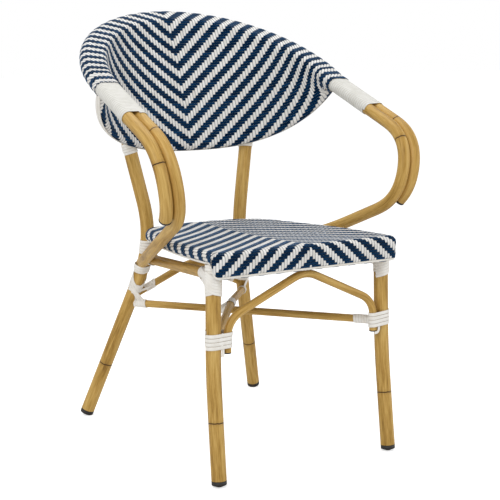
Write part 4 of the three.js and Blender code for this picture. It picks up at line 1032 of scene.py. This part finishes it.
edge_normal = with_both_ends(top_normal, held_on(top_normal), [-1, 1])
hoop_run = lengths_along(sleeve_places)
back_parts = [
    (panel_rows, *in_weave(panel_across, panel_up)),
    (rim_rows, *laid_beyond(panel_across[0], panel_up[0], rim_normal, rim_reach)),
    (sleeve_rows, *laid_beyond(
        edge_across + np.gradient(edge_across, hoop_run) * sleeve_aside,
        edge_up + np.gradient(edge_up, hoop_run) * sleeve_aside, edge_normal, sleeve_reach))]

# The stripes lean aside as they climb, by these millimetres at these rows of the weave
LEAN_ROWS = [3.5, 15.5, 21.5, 33.5, 39.5, 45.5, 51.5, 58.0]
LEAN_ASIDE = [-5.2, -6.2, -8.8, -11.6, -14.8, -19.6, -22.0, -23.0]
leaning = [(places, u - np.interp(v, LEAN_ROWS, LEAN_ASIDE) / BACK_CREAM_PITCH, v)
           for places, u, v in back_parts]
woven("back", fabric_mesh("back fabric", leaning), (-64, 64), (-10, 78), -1, -4.0,
      ["back_weave", "hoop_weave"])


# Binding of the lower rim
# A plain white strip is laid along the outer side of the lower rim and hides the ends of
# the strands, from one arm to the other.

MARKS_PER_METRE = 160.0
WHITE_STRIP_NUMBER = 3.0
BINDING_STAND_OFF = 1.5


def white_strip_plastic(name, dark="e6e1d6", middle="f6f2ea", light="fffdf8"):
    material, tree, skin, body, from_middle = start_strand(name, 0.35)
    stain_and_shade_patches = noise(tree, object_place(tree), 55.0, 4.0)
    mixed = graded(tree, stain_and_shade_patches, 0.6, times(tree, body["Shade"], 0.4))
    colour = colour_steps(tree, mixed, (0.28, 0.48, 0.7), (dark, middle, light))
    # Painted shade: the strip's sides are darkened, patchily, standing in for the shade between
    # neighbouring turns of the strip. The same noise also gives the strip its uneven tone.
    painted_gap_shade = remapped(tree, from_middle, 0.38, 0.49, 0.0, 1.0)
    colour = tinted(tree, colour, times(tree, painted_gap_shade, stain_and_shade_patches), "a89c86")
    dress(tree, skin, colour, body["Roughness"], body["Height"], 0.3, 0.0004)
    return material


def laid_strip_tree():
    tree, ask = start_tree("laid strip", {
        "Width": "Float", "Thickness": "Float", "Strip": "Material"})
    skin, around = swept(tree, ask["Geometry"], 10, 1.0)
    flattened = clamped(tree, around[1], 1.5)

    def moved_by(share, size, direction):
        reach = times(tree, share, times(tree, ask[size], 0.5))
        return reckon_vector(tree, "SCALE", named(tree, direction), Scale=reach)

    both = reckon_vector(tree, "ADD", moved_by(around[0], "Width", "side"),
                         moved_by(flattened, "Thickness", "out"))
    marks = combine(tree, times(tree, around[0], 0.5),
                    times(tree, named(tree, "along", "FLOAT"), MARKS_PER_METRE),
                    WHITE_STRIP_NUMBER)
    moved = add(tree, "GeometryNodeSetPosition", {
        "Geometry": store(tree, skin, "strand", marks),
        "Position": reckon_vector(tree, "ADD", named(tree, "centre"), both)})
    return end_tree(tree, moved, ask["Strip"])


LAID_STRIP = laid_strip_tree()
white_strip = white_strip_plastic("white strip")


def strip(name, lines, node, width=6.1, thickness=1.25, material=white_strip):
    points, edges, along = [], [], []
    for places, facing, sideways in lines:
        start = sum(len(block) for block in points)
        edges += [(start + i, start + i + 1) for i in range(len(places) - 1)]
        points.append(metres(places))
        along.append(lengths_along(points[-1]))
    centre = np.vstack(points)
    mesh = mesh_of(name, centre, edges=edges, centre=centre,
                   out=np.vstack([line[1] for line in lines]),
                   side=np.vstack([line[2] for line in lines]), along=np.concatenate(along))
    piece = grown(name, mesh, LAID_STRIP, {
        "Width": width / 1000, "Thickness": thickness / 1000, "Strip": material})
    settle(piece, "white_strip", node, crease=60)


binding_lines = []
for turn in np.radians([-108, -140, -172, -204]):
    facing = rim_spoke(turn)
    places = rim_places + facing * (RIM_WRAP_RADIUS + BINDING_STAND_OFF)
    binding_lines.append((places, facing, rim_spoke(turn + math.pi / 2)))
strip("rim_binding", binding_lines, "back_weave", width=6.0, thickness=1.3)


# Edging of the seat
# A flat white strip is stitched along the lower edge of the seat's side bands and apron,
# where the strands turn under the tube.

EDGING_TURN = math.radians(128)
EDGING_SWING = SEAT_EDGE_RADIUS + 1.3
middle_column = int(np.argmax(outline[:-1, 1]))
columns = np.arange(middle_column, middle_column + wrap + 1) % wrap
flat = outline[columns] - edge_out[columns] * (
    SEAT_EDGE_INSET - EDGING_SWING * math.sin(EDGING_TURN))
height = (seat_top(outline[columns, 1]) - SEAT_EDGE_RADIUS
          + EDGING_SWING * math.cos(EDGING_TURN) - straight_fall[columns])
places = np.column_stack([flat, height])
facing = np.column_stack([edge_out[columns] * math.sin(EDGING_TURN),
                          np.full(len(columns), math.cos(EDGING_TURN))])
sideways = unit(np.cross(facing, directions_along(places)))
strip("seat_edging", [(places, unit(facing), sideways)], "seat_weave", width=6.4, thickness=1.1)


# Windings of the arms
# One white strip is wound tightly round both arm tubes for a hand's breadth in front of
# the weave. Its turns lie so close that the winding looks almost smooth.

STRIP_STAND_OFF = 1.05
WINDING_STEPS = 40
ARM_WINDING_FRONT_Y = -54
ARM_WINDING_REACH = 139.8


def bundle_outline(bars, stand_off):
    turns = np.linspace(0, math.tau, 97)
    directions = np.stack([np.cos(turns), np.sin(turns)], axis=-1)
    reach = np.array([[np.dot(bar[:2], d) + bar[2] for bar in bars] for d in directions])
    pick = reach.argmax(1)
    centres = np.array([bar[:2] for bar in bars])[pick]
    radii = np.array([bar[2] for bar in bars])[pick] + stand_off
    places = centres + directions * radii[:, None]
    reached = lengths_along(places)
    even = np.linspace(0, reached[-1], WINDING_STEPS + 1)[:-1]
    return between(even, reached, places), unit(between(even, reached, directions))


def winding_line(axis, across, start, loops, bars, pitch=6.5, stand_off=STRIP_STAND_OFF):
    stations = []
    directions = directions_along(axis)
    reached = lengths_along(axis)
    for i in range(int(loops * WINDING_STEPS) + 1):
        length = start + i / WINDING_STEPS * pitch
        origin = place_on(axis, length)
        along = unit(between(length, reached, directions))
        first = unit(across - along * (across @ along))
        second = np.cross(along, first)
        bars_here = bars(origin, first, second) if callable(bars) else bars
        flat, facing = bundle_outline(bars_here, stand_off)
        x, y = flat[i % WINDING_STEPS]
        out_x, out_y = facing[i % WINDING_STEPS]
        stations.append((origin + first * x + second * y, first * out_x + second * out_y, along))
    return [np.array(column) for column in zip(*stations)]


PAIR_BARS = [(-PAIR_PITCH / 2, 0, ARM_TUBE), (PAIR_PITCH / 2, 0, ARM_TUBE)]
SIDEWAYS = np.array([1.0, 0.0, 0.0])
arm_strip = white_strip_plastic("white strip, arms", "d3d2ca", "e2e1da", "efeee9")
pair_line = inner_line + inner_outward * (PAIR_PITCH / 2)
for (side_name, side), loops in zip(SIDES, (22.7, 21.5)):
    half = pair_line[pair_line[:, 0] * side > 0][::side]
    upper = half[:, 2] > UPPER_ARM_Z
    front = float(np.interp(-ARM_WINDING_FRONT_Y, -half[upper, 1], lengths_along(half)[upper]))
    line = winding_line(half, SIDEWAYS * side, front - ARM_WINDING_REACH, loops, PAIR_BARS)
    strip(f"arm_winding_{side_name}", [line], f"arm_wrap_{side_name}", width=6.35,
          thickness=1.3, material=arm_strip)


# Windings of the legs and posts
# Each front leg is bound from below the apron up, and over the end of the side rail, with
# straps crossing over the turns. Each back post is bound where the lower rim meets it.

STRAP_RISE = 5.9
RAIL_STRAP_RADIUS = 12.9


def on_tube(line, length, side, turn, radius, toward=(0, 0, 1)):
    along = unit(between(length, lengths_along(line), directions_along(line)))
    outward = unit(np.array([side, 0, 0]) - along * (along[0] * side))
    other = np.array(toward, float)
    other = unit(other - along * (other @ along) - outward * (other @ outward))
    angle = math.radians(turn)
    facing = outward * math.cos(angle) + other * math.sin(angle)
    return place_on(line, length) + facing * radius, facing


def round_leg(line, side, stations, radius):
    spots = []
    for (low, turn), (high, next_turn) in zip(stations, stations[1:]):
        count = max(2, int(abs(next_turn - turn) / 12) + 1)
        for share in np.linspace(0, 1, count, endpoint=False):
            length = length_at_height(line, low + (high - low) * share)
            spots.append(on_tube(line, length, side, turn + (next_turn - turn) * share, radius,
                                 toward=(0, -1, 0)))
    return spots


def strap(spots):
    points, facings = (np.array(column) for column in zip(*spots))
    reached = lengths_along(points)
    even = np.linspace(0, reached[-1], max(10, int(reached[-1] / 2)))
    places = smoothed(place_on(points, even), 3)
    out = between(even, reached, facings)
    along = directions_along(places)
    out = unit(out - along * (out * along).sum(1, keepdims=True))
    return places, out, unit(np.cross(out, along))


def leg_winding(line, side, height, loops, pitch, bars=((0, 0, LEG_RADIUS),), **settings):
    return winding_line(line, SIDEWAYS * side, length_at_height(line, height), loops, bars,
                        pitch, **settings)


def wound_rail(side):
    return mirrored([RAIL_FRONT, (RAIL_REAR_X, 232, RAIL_REAR_Z)], side)


for side_name, side in SIDES:
    line = leg_lines["front", side]
    rail = wound_rail(side)
    lines = [leg_winding(line, side, 380, 8.6, 6.1, stand_off=0.6),
             winding_line(rail, SIDEWAYS * side, 16, 6.6, [(0, 0, RAIL_RADIUS)], 6.1, 0.8)]
    for step in range(6):
        rise = STRAP_RISE * step
        rail_end = [on_tube(rail, 55 - 6 * step, side, turn, RAIL_STRAP_RADIUS)
                    for turn in (-90, -50)]
        lines.append(strap(rail_end + round_leg(line, side, [
            (389 + rise, -50), (373 + rise, -14), (378.5 + rise, 58), (387 + rise, 115),
            (396 + rise, 170)], 16.2)))
    for step in range(6):
        rise = STRAP_RISE * step
        lines.append(strap(round_leg(line, side, [
            (371 + rise, 165), (373 + rise, 138), (378.5 + rise, 58), (388 + rise, 0),
            (395 + rise * 0.6, -48)], 16.9)
            + [on_tube(rail, 38 + step, side, 5 + 8 * step, RAIL_STRAP_RADIUS),
               on_tube(rail, 47 + step, side, 45 + 6 * step, RAIL_STRAP_RADIUS)]))
    strip(f"front_leg_winding_{side_name}", lines, f"front_leg_wrap_{side_name}", thickness=0.95)
    post = [leg_winding(leg_lines["rear", side], side, 608, 3.4, 6.1)]
    strip(f"post_winding_{side_name}", post, f"post_wrap_{side_name}")


# Lashings of the rear joints
# Where the arm comes back to the rear leg, a collar holds both, and one strip runs on down
# the leg to the rear brace and the stretcher, crossing itself and leaving a small window.

LEG_STRAP_RADIUS = 16.3
UPPER_STRAP_RADIUS = 16.6
BRACE_BAR = [(0, 0, BRACE_RADIUS)]
UPWARD = np.array([0.0, 0.0, 1.0])


def collar_bars(arm_end):
    def bars_at(origin, first, second):
        aside = arm_end - origin
        return [(0, 0, LEG_RADIUS), (aside @ first, aside @ second, 14.0)]
    return bars_at


for side_name, side in SIDES:
    line = leg_lines["rear", side]
    rail = wound_rail(side)
    brace = rear_brace_line[::-side]
    stretcher = straight_line if side < 0 else arched_line
    collar_middle = leg_place("rear", side, 354)
    collar_way = unit(leg_place("rear", side, 356) - leg_place("rear", side, 344)
                      + np.array([side * 1.2, -2.2, 0]))
    collar = np.array([collar_middle - collar_way * 30, collar_middle + collar_way * 30])
    arm_bars = collar_bars(mirrored(ARM_CORNERS[-1], side))
    lines = [
        winding_line(collar, SIDEWAYS * side, 22, 2.7, arm_bars, 5.9, 1.2),
        leg_winding(line, side, 300.5, 2.6, 6.0, stand_off=0.8),
        leg_winding(line, side, 386, 4.6, 6.2, stand_off=0.8),
        winding_line(brace, UPWARD, 36, 4, BRACE_BAR, 5.7, 0.8),
        winding_line(rail, SIDEWAYS * side, lengths_along(rail)[-1] - 61, 4.6, [(0, 0, 12)],
                     6.1, 0.8)]
    for stations in (
            [(303, 95), (309, 70), (318, 24), (335, -24), (352, -50)],
            [(303, 50), (309, 35), (318, 5), (335, -45), (350, -70)],
            [(303, 0), (318, -15), (335, -65), (346, -90)],
            [(305, 55), (309, 75), (325, 150), (342, 200)]):
        lines.append(strap(round_leg(line, side, stations, LEG_STRAP_RADIUS)))
    on_brace = [on_tube(brace, length, side, turn, radius)
                for length, turn, radius in ((54, -75, 10.4), (60, -20, 9.8), (62, 40, 9.6))]
    lines.append(strap(round_leg(line, side, [(304, 20), (300, 95)], UPPER_STRAP_RADIUS)
                       + on_brace))
    for leg_turn, length in ((48, 17), (58, 25.5), (68, 31.5), (78, 37.5)):
        on_leg = round_leg(line, side, [(304, leg_turn - 15), (297, leg_turn)],
                           UPPER_STRAP_RADIUS)
        lines.append(strap(on_leg + [on_tube(stretcher, length, side, turn, 9.8)
                                     for turn in (50, 0, -50)]))
    strip(f"rear_joint_winding_{side_name}", lines, f"rear_joint_wrap_{side_name}",
          thickness=1.1)


# Lashings of the braces
# Four turns of strip tie the end of the front brace to the leg beside it. The strip's
# last bit hangs down between the two.

def lashing_bars(side):
    branch = front_brace_line[front_brace_line[:, 0] * side > 60]
    branch = branch[np.argsort(branch[:, 2])]

    def bars_at(origin, first, second):
        bars = [(0, 0, LEG_RADIUS)]
        for half in (-2.8, 2.8):
            place = between(origin[2] + half, branch[:, 2], branch) - origin
            bars.append((place @ first, place @ second, 8.3))
        return bars
    return bars_at


for side_name, side, start, facing, loose_end in (
        ("left", -1, 269.8, (-0.5, -0.9, 0),
         [(-190, -219.5, 273), (-190.3, -221, 262), (-190.6, -221.3, 257), (-191, -220.5, 253.5)]),
        ("right", 1, 265.6, (0, -1, 0),
         [(186, -219, 272), (185.5, -220.5, 263), (184, -221.5, 258), (180, -222, 254.5),
          (174, -221.5, 255)])):
    turns = leg_winding(leg_lines["front", side], side, start, 4, 7.8, lashing_bars(side))
    end = strap([(place, unit(facing)) for place in loose_end])
    for piece_name, line, width in (("strip", turns, 7.4), ("end", end, 6.0)):
        strip(f"brace_lashing_{piece_name}_{side_name}", [line], f"brace_lashing_{side_name}",
              width=width)


# Windings of the stretchers
# A few turns of strip cover each stretcher near its ends. Where the two cross, turns round
# each of them and four straps over both hold them together.

for name, line in STRETCHERS:
    total = lengths_along(line)[-1]
    for end_name, start, loops in (("rear", 21.0, 3.6), ("front", total - 56.5, 5.6)):
        turns = winding_line(line, UPWARD, start, loops, BRACE_BAR, 5.9)
        strip(f"stretcher_{name}_{end_name}_winding", [turns],
              f"stretcher_{name}_{end_name}_wrap")

on_straight = lengths_along(straight_line)[-1] * crossing_share
fine_arch = evenly(arched_line, 2)
from_top = np.linalg.norm(fine_arch - (crossing + [0, 0, CROSS_RISE]), axis=1)
on_arch = 2 * int(np.argmin(from_top))
lines = [winding_line(straight_line, UPWARD, on_straight - 27, 3, BRACE_BAR, 5.8),
         winding_line(arched_line, UPWARD, on_arch - 2, 6, BRACE_BAR, 5.8)]
for step in range(4):
    below = [on_tube(straight_line, on_straight - (27 - 5.4 * step), -1, turn, 9.6)
             for turn in (-100, -60, -20, 30)]
    above = [on_tube(arched_line, on_arch + 30 - 7 * step, -1, turn, 9.8)
             for turn in (50, 80, 115, 155, 190)]
    lines.append(strap(below + above))
strip("cross_lashing_strip", lines, "cross_lashing", thickness=1.1)


# Camera
# It stands where the photograph was taken, in front and to the chair's right hand side.

lens = bpy.data.cameras.new("camera")
lens.lens = 87.25
lens.sensor_width = 36.0
lens.clip_end = 50.0
camera = put_in_scene("camera", lens)
camera.location = (-1.338, -2.2111, 0.836)
camera.rotation_euler = (math.radians(80.53), 0.0, math.radians(-31.97))
bpy.context.scene.camera = camera


# Floor, backdrop and lamps
# A plain white floor takes the chair's soft shadow, under large studio lamps.

FLOOR_REACH = 30
WHITE = (1, 1, 1, 1)
floor_corners = [(x * FLOOR_REACH, y * FLOOR_REACH, 0)
                 for x, y in ((-1, -1), (1, -1), (1, 1), (-1, 1))]
floor = put_in_scene("floor", mesh_of("floor", floor_corners, [(0, 1, 2, 3)]))
floor_finish, tree, skin = start_material("floor")
seen = add_node(tree, "ShaderNodeLightPath").outputs["Is Camera Ray"]
wire(skin, {"Base Color": (0.9, 0.9, 0.9, 1), "Roughness": 0.9, "Specular IOR Level": 0.1,
            "Emission Color": WHITE, "Emission Strength": times(tree, seen, 0.62)})
floor.data.materials.append(floor_finish)

world = bpy.data.worlds.new("studio")
bpy.context.scene.world = world
world.use_nodes = True
tree = world.node_tree
paths = add_node(tree, "ShaderNodeLightPath").outputs
clear = reckon(tree, "MAXIMUM", paths["Is Camera Ray"], paths["Is Glossy Ray"])
clear = reckon(tree, "MAXIMUM", clear, paths["Is Transmission Ray"])
wire(tree.nodes["Background"], {"Color": WHITE, "Strength": graded(tree, clear, 0.5, 0.5)})

for name, place, target_z, size, watts in (
        ("key lamp", (-2.6, -1.6, 2.6), 0.5, 1.6, 42),
        ("fill lamp", (2.4, -2.4, 1.6), 0.5, 2.0, 22),
        ("top lamp", (0.2, 0.6, 3.2), 0.4, 2.4, 30)):
    light = bpy.data.lights.new(name, "AREA")
    light.shape = "RECTANGLE"
    light.size = light.size_y = size
    light.energy = watts
    lamp = put_in_scene(name, light)
    lamp.location = place
    aim = Vector((0, 0, target_z)) - Vector(place)
    lamp.rotation_euler = aim.to_track_quat("-Z", "Y").to_euler()
bpy.context.scene.view_settings.view_transform = "Standard"
